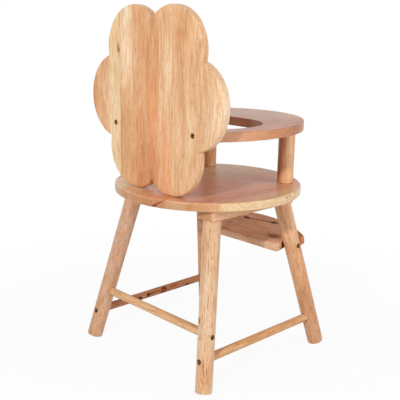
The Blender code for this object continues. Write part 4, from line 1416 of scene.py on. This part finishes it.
scallop_radii = [radius + SCALLOP_CLEARANCE for radius in leg_radii]
hollows = []
for side_name, side in SIDES.items():
    sole, top = (leg_point(side, ENDS["front"], height) for height in (sole_height, LEG_HEIGHT))
    mesh = bar_between("scallop_" + side_name, sole, top, *scallop_radii)
    hollows.append(cutter("scallop_" + side_name, mesh))
crack_start, crack_finish = (Vector(end) for end in CRACK_ENDS)
crack_run = crack_start - crack_finish
crack_slope = math.atan2(crack_run.y, crack_run.x)
hollows.append(footrest_pit("crack", (crack_start + crack_finish) / 2, crack_run.length / 2,
                            CRACK_HALF_WIDTH, CRACK_DEPTH, crack_slope))
hollows += [footrest_pit("knot_hole", end, PIT_HALF_LENGTH, PIT_HALF_WIDTH, PIT_DEPTH,
                         crack_slope + PIT_TWIST)
            for end in CRACK_ENDS]

footrest_patches = [
    mark((-46, -10), (11, 60), MAUVE_WOOD, 0.9),
    mark((-10, 30), (20, 30), MAUVE_WOOD, 0.6),
    mark((14.5, 30), (7, 16), BROWN_WOOD, 0.9),
    mark((22, -72), (18, 50), CREAM_TONE_AND_HIGHLIGHT, core=0.6),
    mark((21, 32), (2.6, 22), DARK_STREAK_AND_SHADE, 0.8),
    mark((-32.6, -4.4), (2.6, 40), DARK_STREAK_AND_SHADE, 0.7, turn=(0, 0, -crack_slope)),
    mark((26, -30), (6, 75), PALE_TONE_AND_LIGHT, core=0.4),
    mark((-20, -104), (32, 16), BROWN_WOOD, core=0.6),
    mark((-20, -104), (30, 14), BROWN_WOOD, core=0.6),
    mark((-20, -104), (28, 13), BROWN_WOOD, 0.8, core=0.6),
]
footrest_knots = [
    mark((-32.3, -4.4), (1.8, 40), KNOT_HALO, core=0.4, turn=(0, 0, -crack_slope)),
    mark((-29, 23), (3.6, 9), RED_KNOT, core=0.6),
    mark((-35.6, -31.8), (3.6, 10), RED_KNOT, core=0.6),
    mark((6, -90), (9.2, 3), KNOT_AND_GAP_SHADE, core=0.7),
    mark((2, -64), (10, 22), KNOT_HALO, 0.6),
    mark((4, -64), (5.5, 14), KNOT_AND_GAP_SHADE, 0.6),
]
make_board("footrest", footrest_outline(), FOOTREST_THICKNESS, footrest_placing,
           grain_frame((1, 0, 0), footrest_rear_side, footrest_middle), holes=hollows,
           tone=FOOTREST_TONE, patches=footrest_patches, knots=footrest_knots, seed=FOOTREST_SEED,
           figure=FOOTREST_FIGURE, ends=PALE_ENDS, gloss=FOOTREST_GLOSS, coat=0.0)
print("the footrest is tilted by", round(math.degrees(math.atan(LEG_SPLAY_FORE)), 1), "degrees")

# %% [markdown]
# The battens are planed boards with barely broken edges. They join each side's leg tops and carry the
# seat. Their screws go up into the seat from below, in countersunk holes.

# %% Make the battens
BATTEN_EASING = 0.0012
BATTEN_CORNER = 0.0075
BATTEN_WOODS = {
    "left": {"tone": colour(220, 170, 128), "seed": 65.0},
    "right": {"tone": colour(226, 183, 144), "seed": 66.0},
}
QUADRANTS = ((1, 1), (-1, 1), (-1, -1), (1, -1))

for side_name in SIDES:
    batten_name = "batten_" + side_name
    low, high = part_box(batten_name)
    middle = (low + high) / 2
    half = (high - low) / 2
    outline = []
    for quarter, (x, y) in enumerate(QUADRANTS):
        corner = (x * (half.x - BATTEN_CORNER), y * (half.y - BATTEN_CORNER))
        outline += arc(corner, BATTEN_CORNER, quarter * QUARTER_TURN, (quarter + 1) * QUARTER_TURN,
                       CORNER_SEGMENTS)
    make_board(batten_name, outline, high.z - low.z, Matrix.Translation(middle),
               grain_frame((0, 1, 0), (0, 0, 1), middle), BATTEN_EASING,
               holes_of("screw_seat", end=side_name), "batten_wood", **BATTEN_WOODS[side_name])
print("made", len(BATTEN_WOODS), "battens")

# %% [markdown]
# Two upright posts carry the tray's front. A short dowel joins each post's top to the tray; it is
# hidden, but it is a real piece, so it is dressed too.

# %% Make the posts and dowels
POST_EASING = 0.0006
POST_TONE = colour(225, 173, 126)
DOWEL_TONE = colour(228, 184, 142)
POST_WOODS = {
    "post_left": {"tone": POST_TONE, "seed": 98.0},
    "dowel_left": {"tone": DOWEL_TONE, "seed": 101.0},
    "post_right": {"tone": POST_TONE, "seed": 101.0},
    "dowel_right": {"tone": DOWEL_TONE, "seed": 104.0},
}
post_patches = [
    # painted shade: the posts are darker down their side towards the chair's back and left
    mark((6.2, 42, -10.8), (10, 200, 10), UMBER_TONE_AND_SHADE, core=0.7),
    mark((6.2, 42, -10.8), (8, 200, 8), UMBER_TONE_AND_SHADE, 0.4, core=0.6),
    # painted shade: a dark line along the edge of that shade
    mark((-5.5, 60, -11.6), (1.2, 28, 3), DARK_STREAK_AND_SHADE, 0.9),
    # painted highlight: the posts are paler down their side towards the chair's right
    mark((-10.6, 42, -5.2), (5, 200, 6.6), PALE_TONE_AND_LIGHT, core=0.4),
    mark((-10, 60, -6), (4, 50, 5), PALE_TONE_AND_LIGHT, 0.8, core=0.4),
]

for node_name, look in POST_WOODS.items():
    low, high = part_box(node_name)
    radius = (high.x - low.x) / 2
    foot = Vector(((low.x + high.x) / 2, (low.y + high.y) / 2, low.z))
    head = Vector((foot.x, foot.y, high.z))
    make_bar(node_name, foot, head, (radius, radius), grain_frame((0, 0, 1), (1, 0, 0), foot),
             POST_EASING, patches=post_patches, **look)
print("made", len(POST_WOODS), "posts and dowels")

# %% [markdown]
# The cutting tools have done their work and are removed.

# %% Clear up
for tool in list(cutters.objects):
    bpy.data.objects.remove(tool, do_unlink=True)
bpy.data.collections.remove(cutters)
